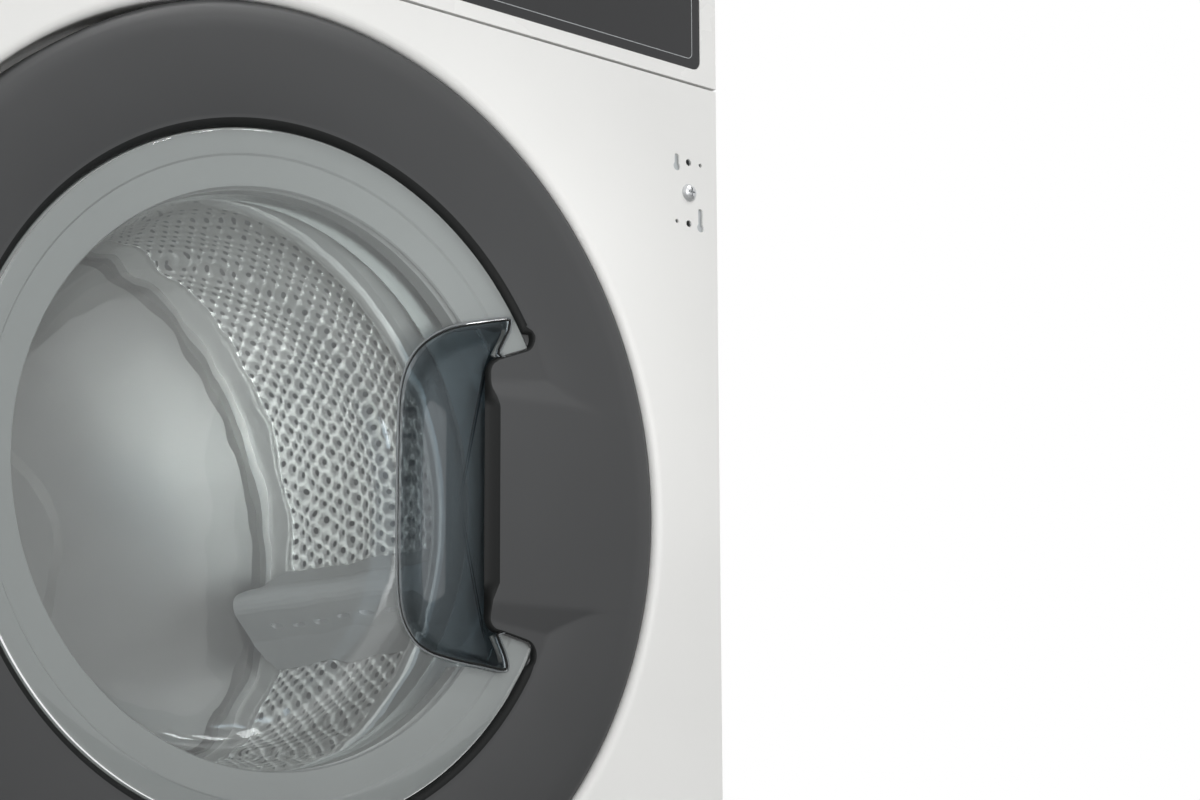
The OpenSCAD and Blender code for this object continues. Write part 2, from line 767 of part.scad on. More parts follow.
// Outline of the finger pocket about the middle of the door, grown by g
function pocket_outline(g) = concat(
    [[153, 100 + g], [142, 101 + g], [pocket_x + 39, 92 + g]],
    arc(pocket_x + 18, 72, 18 + g, 110, 180, 5), arc(pocket_x + 20, -70, 20 + g, 180, 255, 5),
    [[pocket_x + 35, -89 - g], [140, -93 - g], [153, -93 - g]]);

// Clear cover with the opening for the pocket and the grip
module door_cover() {
    color("lightsteelblue", 0.35) difference() {
        turned() polygon(concat([[0, inner_d - 2.4]],
            [for (i = [1 : 6]) [cover_r * i / 6.4, inner_d - 2.4 + 1.9 * pow(i / 6.4, 2)]],
            [[cover_r - 1.6, inner_d - 0.3], [cover_r, inner_d + 1], [cover_r, cover_seat],
            [cover_r - 8, cover_seat]],
            [for (i = [6 : -1 : 0]) [cover_r * i / 6.4, cover_seat - 2 + 1.6 * pow(i / 6.4, 2)]]));
        plate(-5, 30) translate([0, door_z])
            polygon(concat(pocket_outline(fit), [[200, -93 - fit], [200, 100 + fit]]));
    }
}

pocket_r = ring_in - 8.6;

// Space under the sloping left side of the finger pocket, set out by a wall's thickness t
module scoop(t) {
    translate([0, front_y, door_z - 120]) linear_extrude(240)
        polygon([[pocket_x - t, -5], [pocket_x - t, inner_d + 0.6 + 0.3 * t],
            [scoop_x - t, pocket_d + t], [190, pocket_d + t], [190, -5]]);
}

// Smoky scoop of the pocket, sloping in from the left and reaching in under the grip plate
module finger_pocket() {
    color("slategray", 0.6) difference() {
        intersection() {
            plate(inner_d, pocket_d + pocket_t - inner_d) translate([0, door_z])
                polygon(concat(pocket_outline(0), [[190, -93], [190, 100]]));
            rod(0, door_z, pocket_r, 0, 40);
            scoop(pocket_t);
        }
        intersection() {
            plate(inner_d - 5, pocket_d - inner_d + 5) translate([0, door_z])
                polygon(concat(pocket_outline(-pocket_t), [[190, -93 + pocket_t], [190, 100 - pocket_t]]));
            rod(0, door_z, pocket_r - pocket_t, -5, 40);
            scoop(0);
        }
        translate([grip_x - 2, front_y, door_z - 120]) cube([80, grip_back + 0.05, 240]);
    }
}

frame_in_r = bowl_r - 6;

// Turned channel of the inner frame
module door_frame_ring() {
    turned() polygon([[frame_in_r, ring_back + 6], [frame_in_r + 9, ring_back + 0.5],
        [frame_r - 4, ring_back + 0.5], [frame_r, ring_back + 4], [frame_r, frame_back_d],
        [frame_r - 4, frame_back_d], [frame_r - 6, ring_back + 4], [ring_in + 3, ring_back + 4],
        [ring_in + 1, frame_back_d], [frame_in_r, frame_back_d]]);
}

// Inner frame of the door, a channel that clamps the bowl, with a boss for the latch hook
module door_frame() {
    color("darkgray") difference() {
        union() {
            door_frame_ring();
            translate([frame_r - 3, front_y + ring_back + 0.7, door_z - 13])
                cube([hook_x + 9 - frame_r + 3, frame_back_d - ring_back - 0.9, 26]);
        }
        plate(0, 60) translate([0, door_z])
            polygon(concat(pocket_outline(fit), [[160, -93 - fit], [160, 100 + fit]]));
        intersection() {
            plate(0, 60) translate([0, door_z])
                polygon([[140, -93 - fit], [190, -93 - fit], [190, 100 + fit], [140, 100 + fit]]);
            rod(0, door_z, pocket_r + fit, 0, 60);
        }
        translate([-frame_r - 2, front_y + ring_back, door_z - arm_half - 0.4])
            cube([38, 4.2, 2 * arm_half + 0.8]);
        hook_slot();
    }
}

// Slot and pin bore for the latch hook, cut into the frame's boss
module hook_slot() {
    translate([hook_x - 12.5, front_y + ring_back + 5, door_z - 4.4]) cube([30, 30, 8.8]);
    translate([hook_x, front_y + hook_pivot_d, door_z - 20]) cylinder(r = 1.5, h = 40);
}

bowl_lip = frame_back_d;

// Glass bowl: flange clamped behind the frame, a steep wall and a rounded floor
module door_bowl() {
    r = bowl_r;
    e = bowl_end_r;
    t = glass_t;
    color("lightcyan", 0.35) turned() polygon(concat(
        [[r + 16, bowl_lip], [r + 16, bowl_lip + t - 0.5], [r + 3, bowl_lip + t], [r, bowl_lip + 7],
        [r - 2.5, 62], [r - 8, 76], [e + 12, 90]], arc(e - 4, bowl_d - 12, 12, 10, 70, 4),
        [[e * 0.6, bowl_d - 0.8], [0, bowl_d], [0, bowl_d - t], [e * 0.6, bowl_d - t - 0.8]],
        arc(e - 4, bowl_d - 12, 12 - t, 70, 10, 4),
        [[e + 12 - t, 90 - t * 0.4], [r - 8 - t, 75], [r - 2.5 - t, 61], [r - 1 - t, bowl_lip]]));
}

// Arm from the ring's back to the hinge knuckle
module hinge_arm() {
    color("silver") difference() {
        union() {
            translate([-hinge_x, front_y + hinge_d, door_z - arm_half])
                cylinder(r = knuckle_r, h = 2 * arm_half);
            translate([-hinge_x - 1, front_y + hinge_d, door_z - arm_half])
                cube([4.5, ring_back + 3.6 - hinge_d, 2 * arm_half]);
            translate([-hinge_x - 1, front_y + ring_back + 0.4, door_z - arm_half])
                cube([42, 3.2, 2 * arm_half]);
        }
        translate([-hinge_x, front_y + hinge_d, door_z - arm_half - 1])
            cylinder(r = pin_r, h = 2 * arm_half + 2);
    }
}

// Fixed hinge block on the floor of the dish, with two ears for the pin
module hinge_base() {
    left = -hinge_x - 15.4;
    color("silver") difference() {
        union() {
            translate([left, front_y + 2.5, door_z - hinge_half])
                cube([6.4, dish_depth - 2.5, 2 * hinge_half]);
            translate([left, front_y + dish_depth - 3, door_z - hinge_half])
                cube([28, 3, 2 * hinge_half]);
            for (z = [-hinge_half, arm_half + 0.4])
                translate([0, 0, door_z + z]) {
                    translate([-hinge_x, front_y + hinge_d, 0])
                        cylinder(r = knuckle_r, h = hinge_half - arm_half - 0.4);
                    translate([left, front_y + hinge_d, 0])
                        cube([-left - hinge_x, 6, hinge_half - arm_half - 0.4]);
                }
        }
        translate([-hinge_x, front_y + hinge_d, door_z - hinge_half - 1])
            cylinder(r = pin_r + run_gap, h = 2 * hinge_half + 2);
    }
}

hook_pivot_d = ring_back + 10;

// Hinge pin and the pin of the latch hook
module door_pins() {
    color("silver") {
        translate([-hinge_x, front_y + hinge_d, door_z - hinge_half])
            cylinder(r = pin_r, h = 2 * hinge_half);
        translate([hook_x, front_y + hook_pivot_d, door_z - 12]) cylinder(r = 1.5, h = 24);
    }
}

hook_end = dish_depth + 19;

// Latch hook: a flat steel hook on its pin, with its nose outwards
module latch_hook() {
    y = front_y;
    color("silver") translate([0, 0, door_z - 4]) difference() {
        union() {
            translate([hook_x, y + hook_pivot_d, 0]) cylinder(r = 3.6, h = 8);
            linear_extrude(8) polygon([[hook_x - 3, y + hook_pivot_d], [hook_x + 3, y + hook_pivot_d],
                [hook_x + 2.5, y + hook_end - 9], [hook_x + 6.5, y + hook_end - 8],
                [hook_x + 6.5, y + hook_end - 5], [hook_x + 1, y + hook_end], [hook_x - 3, y + hook_end]]);
        }
        translate([hook_x, y + hook_pivot_d, -1]) cylinder(r = 1.5 + run_gap, h = 10);
    }
}

// Door lock behind the slot
module door_lock() {
    color("dimgray") difference() {
        plate(dish_depth + sheet_t + 0.05, 36) polygon(rrect(hook_x - 17, door_z - 32,
            hook_x + 26, door_z + 32, 4));
        plate(dish_depth, 25) translate([hook_x - slot_in - 1, door_z - 10])
            square([slot_in + slot_out + 2, 20]);
    }
}

// Rubber bellows between the dish and the tub, with the lip that meets the bowl
module gasket() {
    c = collar_r;
    s = sheet_t;
    f = dish_depth;
    m = tub_mouth_r;
    t = tub_front_d;
    tip = bowl_r + 0.8;
    color("gray") turned() polygon([
        [c + 9, f - 2.2], [c - 3.5, f - 2.2], [c - 3.5, f + 11], [c - 12, f + 15.5],
        [tip + 8, f + 19], [tip, f + 22], [tip + 1.5, f + 25], [m - 2, f + 30],
        [m + 4.5, t - 20.5], [m + 3, t - 13], [m + 0.7, t - 9.5], [m + 0.7, t - 8.3],
        [m + 3.3, t - 8.3], [m + 3.3, t - 0.5], [m + 6.3, t - 0.5], [m + 6.3, t - 10],
        [m + 8.5, t - 19], [m + 7, t - 23.5], [m + 2, f + 26.5], [m - 6, f + 22.5],
        [c - 8, f + 19], [c, f + 15], [c + 6, f + 13], [c + 6, f + s + 0.5],
        [c + s + fit, f + s + 0.5], [c + s + fit, collar_end_d + fit], [c - fit, collar_end_d + fit],
        [c - fit, f], [c + 9, f]]);
}

// Wire that holds the gasket on the dish
module gasket_clamp() {
    color("silver") translate([0, front_y + dish_depth + 7, door_z]) rotate([-90, 0, 0])
        rotate_extrude() translate([collar_r + 8.1, 0]) circle(r = 1.8);
}

split_lip = 6;

// Front half of the tub with its mouth collar, sump outlet, hose inlet and spring lugs
module tub_front() {
    inner_r = tub_r - tub_t;
    m = tub_mouth_r;
    t = tub_front_d;
    lug_z = door_z + sqrt(pow(tub_flange_r, 2) - pow(lug_x, 2));
    inlet_z = door_z + sqrt(pow(tub_r, 2) - pow(spout_x, 2));
    spigot = 0.32 * sump_room;
    color("lightgray") difference() {
        union() {
            turned() polygon(concat([[0, t], [tub_r - 14, t]], arc(tub_r - 14, t + 14, 14, -90, 0, 5),
                [[tub_r, tub_split_d - split_lip], [tub_flange_r, tub_split_d - split_lip],
                [tub_flange_r, tub_split_d], [0, tub_split_d]]));
            rod(0, door_z, m + 3, t - 8, 10);
            translate([sump_x, front_y + sump_d, sump_top - spigot]) cylinder(r = 20, h = spigot + 28);
            translate([spout_x, front_y + spout_d, inlet_z - 40]) cylinder(r = 18, h = 92);
            for (s = [-1, 1])
                translate([s * lug_x - 5, front_y + tub_split_d - 12, lug_z - 24]) cube([10, 12, 46]);
        }
        turned() polygon(concat([[0, t + tub_t], [inner_r - 11, t + tub_t]],
            arc(inner_r - 11, t + tub_t + 11, 11, -90, 0, 5), [[inner_r, tub_split_d + 1],
            [0, tub_split_d + 1]]));
        rod(0, door_z, m, t - 20, 40);
        translate([sump_x, front_y + sump_d, sump_top - spigot - 1]) cylinder(r = 17, h = spigot + 40);
        translate([spout_x, front_y + spout_d, inlet_z - 50]) cylinder(r = 15, h = 110);
        for (s = [-1, 1])
            translate([s * lug_x, front_y + tub_split_d - 13, lug_z + 14]) rotate([-90, 0, 0])
                cylinder(r = 3, h = 14);
    }
}

bearing_r = shaft_r + 16;
bearing_w = 16;

// Rear half of the tub: back wall with radial ribs and the bearing boss, motor and damper lugs
module tub_rear() {
    inner_r = tub_r - tub_t;
    b = tub_back_d;
    lug_top = door_z - sqrt(pow(tub_r - 2, 2) - pow(damper_x, 2));
    color("lightgray") difference() {
        union() {
            turned() polygon(concat([[0, tub_split_d], [tub_flange_r, tub_split_d],
                [tub_flange_r, tub_split_d + split_lip], [tub_r, tub_split_d + split_lip]],
                arc(tub_r - 16, b - 11, 16, 0, 90, 5), [[0, b + 5]]));
            rod(0, door_z, bearing_r + 7, b, boss_end_d - b);
            for (a = [0 : 30 : 330]) rotate_about_y(0, door_z, a)
                translate([bearing_r, front_y + b, -2]) cube([tub_r - bearing_r - 32, 13, 4]);
            for (s = [-1, 1])
                translate([s * damper_x - 9, front_y + damper_d - 8, lug_top - 24]) cube([18, 16, 40]);
        }
        turned() polygon(concat([[0, tub_split_d - 1], [inner_r, tub_split_d - 1]],
            arc(inner_r - 12, b - 12, 12, 0, 90, 5), [[0, b]]));
        rod(0, door_z, bearing_r, b + 4, bearing_w + 1);
        rod(0, door_z, bearing_r, boss_end_d - bearing_w, 20);
        rod(0, door_z, shaft_r + 2, b - 5, 80);
        for (x = [-24, 24])
            rod(x, heater_z(), 3.7, b - 10, 40);
    }
}

// Rings of the two ball bearings, with the races grooved on their faces
module bearings() {
    color("lightsteelblue") for (d = [tub_back_d + 4, boss_end_d - bearing_w])
        turned() polygon([[shaft_r + run_gap, d], [shaft_r + 5, d], [shaft_r + 5, d + 1],
            [bearing_r - 5, d + 1], [bearing_r - 5, d], [bearing_r, d], [bearing_r, d + bearing_w],
            [bearing_r - 5, d + bearing_w], [bearing_r - 5, d + bearing_w - 1],
            [shaft_r + 5, d + bearing_w - 1], [shaft_r + 5, d + bearing_w],
            [shaft_r + run_gap, d + bearing_w]]);
}

// Concrete crescents above and below the mouth
module front_weights() {
    in_r = tub_mouth_r + 24;
    out_r = tub_r - 6;
    color("darkgray") for (s = [0, 1]) translate([0, 0, door_z]) mirror([0, 0, s])
        plate(tub_front_d - 30, 30) difference() {
            circle(r = out_r);
            circle(r = in_r);
            polygon([[0, 0], [-2 * out_r, out_r * 0.9], [-2 * out_r, -2 * out_r],
                [2 * out_r, -2 * out_r], [2 * out_r, out_r * 0.9]]);
        }
}

// Concrete block on top of the tub
module top_weight() {
    color("darkgray") difference() {
        plate(tub_front_d + 24, tub_split_d - split_lip - tub_front_d - 28)
            polygon(rrect(-112, door_z + tub_r - 40, 46, door_z + tub_r + 62, 6));
        rod(0, door_z, tub_r + 0.2, 0, cab_d);
        for (d = [tub_front_d + 54, tub_split_d - 40]) for (x = [-92, 26])
            translate([x, front_y + d, door_z]) cylinder(r = 5, h = tub_r + 70);
    }
}

// Drum wall: a steel tube with two rolled beads
module drum_shell() {
    r = drum_r;
    t = drum_t;
    a = drum_front_d;
    b = drum_end_d;
    color("silver") turned() polygon(concat(
        [[r, a], [r, a + 24], [r + 2, a + 27], [r + 2, a + 33], [r, a + 36],
        [r, b - 36], [r + 2, b - 33], [r + 2, b - 27], [r, b - 24], [r, b]],
        [[r - t, b], [r - t, b - 24], [r + 2 - t, b - 27], [r + 2 - t, b - 33], [r - t, b - 36],
        [r - t, a + 36], [r + 2 - t, a + 33], [r + 2 - t, a + 27], [r - t, a + 24], [r - t, a]]));
}

// Dished front ring of the drum with its rolled mouth
module drum_front() {
    r = drum_r - drum_t;
    m = drum_mouth_r;
    a = drum_front_d;
    t = drum_t;
    color("silver") turned() polygon(concat([[r, a + 8], [r, a]], arc(r - 4, a - 1, 4, 0, -80, 4),
        [[m + 22, a - 4], [m + 9, a - 1.5]], arc(m + 6, a + 4, 6, -110, -200, 5),
        [[m + 2, a + 10]], arc(m + 6, a + 4, 6 - t, -200, -110, 5),
        [[m + 9, a - 1.5 + t], [m + 22, a - 4 + t]], arc(r - 4, a - 1, 4 - t, -80, 0, 4),
        [[r - t, a + 8]]));
}

// Back disc of the drum with a raised centre
module drum_back() {
    r = drum_r - drum_t;
    b = drum_end_d;
    t = drum_t;
    color("silver") turned() polygon([[0, b - 14], [66, b - 14], [78, b - 6], [r - 14, b - 6],
        [r - 6, b - 2], [r - 6, b - 10], [r, b - 10], [r, b - 1], [r - 6, b],
        [r - 14, b - 6 + t], [78, b - 6 + t], [66, b - 14 + t], [0, b - 14 + t]]);
}

// Lifters: three moulded fins with a rounded crest, sloped ends and rows of oval drain slots
module lifter() {
    base = 34;
    crest = 9;
    len = drum_l - 66;
    z0 = -sqrt(pow(drum_r - drum_t - 0.2, 2) - pow(base, 2));
    difference() {
        translate([0, front_y + drum_front_d + 33, z0]) difference() {
            translate([0, len, 0]) rotate([90, 0, 0]) linear_extrude(len)
                polygon(concat([[-base, 0], [base, 0], [base * 0.55, lifter_h * 0.4]],
                    arc(0, lifter_h - crest, crest, 10, 170, 8), [[-base * 0.55, lifter_h * 0.4]]));
            for (e = [0, 1])
                translate([0, e * len, lifter_h * 0.35]) mirror([0, e, 0]) rotate([60, 0, 0])
                    translate([-60, 0, 0]) cube([120, 120, 60]);
        }
        for (y = [50 : 26 : len - 40]) for (s = [-1, 1])
            translate([0, front_y + drum_front_d + 33 + y, z0 + lifter_h * 0.62]) {
                rotate([0, 90, 0]) cylinder(r = 2.2, h = 60, center = true);
                translate([-30, 0, -2.2]) cube([60, 9, 4.4]);
                translate([0, 9, 0]) rotate([0, 90, 0]) cylinder(r = 2.2, h = 60, center = true);
            }
    }
}

module lifters() {
    color("lightgray") for (i = [0 : 2])
        rotate_about_y(0, door_z, lifter_turn + i * 120) lifter();
}

// Shaft with the three-armed cast spider behind the drum
module drum_shaft() {
    b = drum_end_d;
    hub_end = tub_back_d - 2;
    color("gray") {
        rod(0, door_z, shaft_r, b - 4, pulley_d + pulley_w - 0.1 - b + 4);
        difference() {
            union() {
                rod(0, door_z, shaft_r + 13, b - 4.5, hub_end - b + 4.5);
                for (i = [0 : 2]) rotate_about_y(0, door_z, lifter_turn + i * 120)
                    translate([-13, front_y, 0]) rotate([90, 0, 90]) linear_extrude(26)
                        polygon([[b + 0.2, -drum_r + 8], [b + 8, -drum_r + 8], [hub_end, -shaft_r],
                            [b + 0.2, -shaft_r]]);
            }
            rod(0, door_z, shaft_r - 1, 0, cab_d);
        }
    }
}

// Spoked drive pulley with its hub and clamping bolt
module drum_pulley() {
    d = pulley_d;
    w = pulley_w;
    r = pulley_r;
    color("silver") {
        turned() polygon([[r - 9, d], [r + 2.5, d], [r + 2.5, d + 1.5], [r, d + 2.2],
            [r, d + w - 2.2], [r + 2.5, d + w - 1.5], [r + 2.5, d + w], [r - 9, d + w]]);
        turned() polygon([[shaft_r + eps, d], [shaft_r + 11, d], [shaft_r + 11, d + w],
            [shaft_r + eps, d + w]]);
        for (a = [0 : 60 : 300]) rotate_about_y(0, door_z, a) difference() {
            translate([shaft_r + 9, front_y + d + 3, -7]) cube([r - shaft_r - 16, w - 6, 14]);
            translate([shaft_r + 14, front_y + d + 5, -4.5]) cube([r - shaft_r - 26, w, 9]);
        }
        rod(0, door_z, 9, d + w + 4, 6);
        turned() polygon([[0, d + w], [17, d + w], [17, d + w + 3], [9, d + w + 4.5],
            [0, d + w + 4.5]]);
    }
}

belt_d = pulley_d + (pulley_w - belt_w) / 2;

// Closed outline round both pulleys at a distance g from their rims, by the common tangents
function belt_loop(g) = let (
    dx = motor_x, dz = motor_z - door_z, c = sqrt(dx * dx + dz * dz), phi = atan2(dz, dx),
    a = acos((pulley_r - motor_pulley_r) / c))
    concat(arc(0, door_z, pulley_r + g, phi + a, phi - a + 360, 36),
        arc(motor_x, motor_z, motor_pulley_r + g, phi - a, phi + a, 10));

module belt() {
    color("#222222") plate(belt_d, belt_w) difference() {
        polygon(belt_loop(0.3 + belt_t));
        polygon(belt_loop(0.3));
    }
}

motor_d = pulley_d - 147;
motor_len = 120;

// Motor with end shields, a finned stator and the saddle that bolts under the tub
module motor() {
    color("slategray") difference() {
        union() {
            rod(motor_x, motor_z, motor_r, motor_d, 28);
            rod(motor_x, motor_z, motor_r, motor_d + motor_len - 28, 28);
            rod(motor_x, motor_z, motor_r - 6, motor_d + 20, motor_len - 40);
            for (a = [0 : 20 : 340]) rotate_about_y(motor_x, motor_z, a)
                translate([0, front_y + motor_d + 20, -1.5]) cube([motor_r - 1, motor_len - 40, 3]);
            for (d = [motor_d + 6, motor_d + motor_len - 20])
                translate([motor_x - 44, front_y + d, motor_z + 20])
                    cube([88, 14, door_z - tub_r * 0.9 - motor_z - 20]);
        }
        rod(0, door_z, tub_r + 0.2, 0, cab_d);
        rod(motor_x, motor_z, 6 + run_gap, motor_d + motor_len - 20, 30);
    }
}

// Rotor shaft with the small pulley
module motor_rotor() {
    d = pulley_d;
    w = pulley_w;
    r = motor_pulley_r;
    color("silver") {
        rod(motor_x, motor_z, 6, motor_d + motor_len - 19, d + w - motor_d - motor_len + 19);
        turned(motor_x, motor_z) polygon([[5.9, d - 3], [r + 3, d - 3], [r + 3, d], [r, d + 1],
            [r, d + w - 1], [r + 3, d + w], [r + 3, d + w + 2], [5.9, d + w + 2]]);
    }
}

function heater_mid_r() = (drum_r + 2 + tub_r - tub_t) / 2;
function heater_z() = door_z - sqrt(pow(heater_mid_r(), 2) - 24 * 24);

// Tubular wash heater under the drum with its plug behind the tub
module wash_heater() {
    front = tub_front_d + 40;
    color("gray") {
        for (x = [-24, 24])
            rod(x, heater_z(), 3.4, front, tub_back_d + 6 - front);
        translate([-24, front_y + front, heater_z()]) rotate([0, 90, 0]) cylinder(r = 3.4, h = 48);
        for (x = [-24, 24])
            translate([x, front_y + front, heater_z()]) sphere(r = 3.4);
        plate(tub_back_d + 5.1, 7) polygon(rrect(-34, heater_z() - 9, 34, heater_z() + 9, 8));
        for (x = [-24, 24])
            rod(x, heater_z(), 2, tub_back_d + 12, 9);
    }
}

volute_low = duct_top - 76;

// Drying duct on the tub: fan housing at the back, heater channel and the foot that blows into the tub
module dry_duct() {
    y = front_y;
    front = tub_front_d + 22;
    color("silver") difference() {
        union() {
            translate([duct_x - 38, y + front, volute_low]) cube([76, fan_d - front, 44]);
            translate([duct_x, y + fan_d, volute_low]) cylinder(r = fan_r + 8, h = 48);
            translate([duct_x - 30, y + front, door_z + 180]) cube([60, 34, volute_low - door_z - 179]);
            translate([duct_x - 14, y + fan_d - 8, door_z + 180]) cube([28, 16, volute_low - door_z - 179]);
            translate([duct_x, y + fan_d, volute_low + 47]) cylinder(r = 30, h = 29);
            for (i = [0 : 5])
                translate([duct_x - 40, y + front + 46 + i * 18, volute_low - 1]) cube([80, 4, 47]);
        }
        rod(0, door_z, tub_r + 0.2, 0, cab_d);
        translate([duct_x - 34, y + front + 4, volute_low + 4]) cube([68, fan_d - front, 36]);
        translate([duct_x, y + fan_d, volute_low + 4]) cylinder(r = fan_r + 4, h = 40);
        translate([duct_x, y + fan_d, volute_low + 40]) cylinder(r = 4 + run_gap, h = 24);
        translate([duct_x - 24, y + front + 5, volute_low - 60]) cube([48, 24, 70]);
    }
}

// Fan wheel with backward-leaning blades between a disc and a ring
module dry_fan() {
    z = volute_low + 8;
    color("silver") translate([duct_x, front_y + fan_d, 0]) {
        translate([0, 0, z + 28]) cylinder(r = fan_r, h = 3);
        translate([0, 0, z]) cylinder(r = 4, h = 55);
        translate([0, 0, z + 6]) cylinder(r = 12, h = 24);
        translate([0, 0, z]) difference() {
            cylinder(r = fan_r, h = 3);
            translate([0, 0, -1]) cylinder(r = fan_r - 22, h = 5);
        }
        for (a = [0 : 15 : 345]) rotate([0, 0, a]) translate([fan_r - 11, 0, z + 15])
            rotate([0, 0, 35]) cube([18, 1.6, 28], center = true);
    }
}

// Two springs that carry the tub, close-wound, with hooked ends
module springs() {
    lug_z = door_z + sqrt(pow(tub_flange_r, 2) - pow(lug_x, 2));
    low = lug_z + 30;
    high = bracket_z - 12;
    color("silver") for (s = [-1, 1]) translate([s * lug_x, front_y + tub_split_d - 6, 0]) {
        rotate_extrude() polygon(concat([[spring_r - 4, low]],
            [for (i = [0 : 14]) each [[spring_r - 0.8, low + (high - low) * i / 15],
            [spring_r, low + (high - low) * (i + 0.5) / 15]]], [[spring_r - 4, high]]));
        translate([0, 0, high - 1]) cylinder(r = 2, h = bracket_z + 5 - high);
        translate([0, 0, bracket_z + 3 + fit]) cylinder(r = 5, h = 2);
        translate([0, 0, lug_z + 22.3]) cylinder(r = 2, h = low - lug_z - 21);
        for (z = [low, high - 2]) translate([0, 0, z]) cylinder(r = spring_r - 3, h = 2);
    }
}

// Friction dampers on the base: cylinders with a foot that is bolted to the tray
module damper_cylinders() {
    color("#333333") for (s = [-1, 1])
        translate([s * damper_x, front_y + damper_d, ride_h + 2]) difference() {
            union() {
                cylinder(r = 15, h = damper_top - ride_h - 2);
                cylinder(r = 17.5, h = 10);
                translate([-24, -10, 0]) cube([48, 20, 4]);
            }
            translate([0, 0, 14]) cylinder(r = 6 + fit, h = damper_top);
        }
}

// Damper rods with the heads that are pinned to the tub's lugs
module damper_rods() {
    color("silver") for (s = [-1, 1]) translate([s * damper_x, front_y + damper_d, 0]) {
        low = ride_h + 28 + tub_travel;
        translate([0, 0, low]) cylinder(r = 6, h = lug_low - low);
        translate([0, 0, lug_low - 12]) cylinder(r = 9, h = 12);
    }
}

filter_front_d = plinth_d + 1.5;
pump_split_d = filter_front_d + 80;
pump_end_d = pump_split_d + 30;

// Drain pump with the filter housing that opens at the plinth
module drain_pump() {
    top = filter_z + filter_r;
    color("lightgray") difference() {
        union() {
            rod(sump_x, filter_z, filter_r, filter_front_d, pump_end_d - filter_front_d);
            rod(sump_x, filter_z, filter_r + 2, filter_front_d, 5);
            rod(sump_x, filter_z, 26, pump_end_d, 46);
            translate([sump_x, front_y + sump_d, top - 12]) cylinder(r = 20, h = 12 + 0.15 * sump_room);
            translate([sump_x - 30, front_y + pump_split_d + 15, filter_z + 6]) rotate([0, -90, 0])
                cylinder(r = 10, h = 26);
            translate([sump_x - 20, front_y + filter_front_d + 20, ride_h + 2])
                cube([40, 50, filter_z - filter_r - ride_h + 6]);
        }
        rod(sump_x, filter_z, filter_r - 4, filter_front_d - 1, pump_split_d - filter_front_d + 1);
        rod(sump_x, filter_z, 24, pump_split_d - 1, 22);
        rod(sump_x, filter_z, 2.5 + run_gap, pump_split_d + 5, 50);
        translate([sump_x, front_y + sump_d, top - 14]) cylinder(r = 16, h = 40);
        translate([sump_x - 20, front_y + pump_split_d + 15, filter_z + 6]) rotate([0, -90, 0])
            cylinder(r = 7, h = 40);
    }
}

// Pump wheel with four vanes on its shaft
module pump_rotor() {
    d = pump_split_d + 6;
    color("#333333") {
        rod(sump_x, filter_z, 2.5, d, 40);
        rod(sump_x, filter_z, 7, d, 13);
        rod(sump_x, filter_z, 20, d + 11, 2);
        for (a = [0 : 45 : 135]) rotate_about_y(sump_x, filter_z, a)
            translate([-20, front_y + d, -1]) cube([40, 12, 2]);
    }
}

// Filter cap with its grip bar and the slotted basket behind it
module filter_cap() {
    r = filter_r - 4 - fit;
    len = 64;
    color("#2b2b2b") difference() {
        union() {
            turned(sump_x, filter_z) polygon([[0, filter_front_d - 3.5], [filter_r, filter_front_d - 3.5],
                [filter_r + 1, filter_front_d - 2.5], [filter_r + 1, filter_front_d - 0.05],
                [r, filter_front_d - 0.05], [r, filter_front_d + 12], [0, filter_front_d + 12]]);
            plate(filter_front_d - 13, 10) polygon(rrect(sump_x - 24, filter_z - 3.5,
                sump_x + 24, filter_z + 3.5, 3));
            turned(sump_x, filter_z) polygon([[r - 5, filter_front_d + 11], [r - 3, filter_front_d + 11],
                [r - 3, filter_front_d + len], [0, filter_front_d + len], [0, filter_front_d + len - 2],
                [r - 5, filter_front_d + len - 2]]);
        }
        for (a = [0 : 30 : 150]) rotate_about_y(sump_x, filter_z, a)
            translate([-40, front_y + filter_front_d + 20, -3.5]) cube([80, len - 30, 7]);
    }
}

// Ribbed hose about an upright axis, drawn as radius and height
module bellows_hose(x, d, r_in, z0, z1) {
    n = 6;
    cuff = 8;
    span = z1 - z0 - 2 * cuff;
    translate([x, front_y + d, 0]) rotate_extrude() polygon(concat(
        [[r_in, z0], [r_in + 2.5, z0], [r_in + 2.5, z0 + cuff]],
        [for (i = [0 : n - 1]) each [[r_in + 6, z0 + cuff + span * (i + 0.5) / n],
            [r_in + 2.5, z0 + cuff + span * (i + 1) / n]]],
        [[r_in + 2.5, z1], [r_in, z1], [r_in, z1 - cuff]],
        [for (i = [0 : n - 1]) each [[r_in + 3.5, z1 - cuff - span * (i + 0.5) / n],
            [r_in, z1 - cuff - span * (i + 1) / n]]]));
}

// Hoses from the drawer housing to the tub and from the tub to the drain pump
module tub_hoses() {
    inlet_z = door_z + sqrt(pow(tub_r, 2) - pow(spout_x, 2));
    color("#2f2f2f") {
        bellows_hose(spout_x, spout_d, 18.3, inlet_z + 36, tray_z0 - 7.4);
        bellows_hose(sump_x, sump_d, 20.3, sump_top - 0.95 * sump_room, sump_top - 0.2 * sump_room);
    }
}

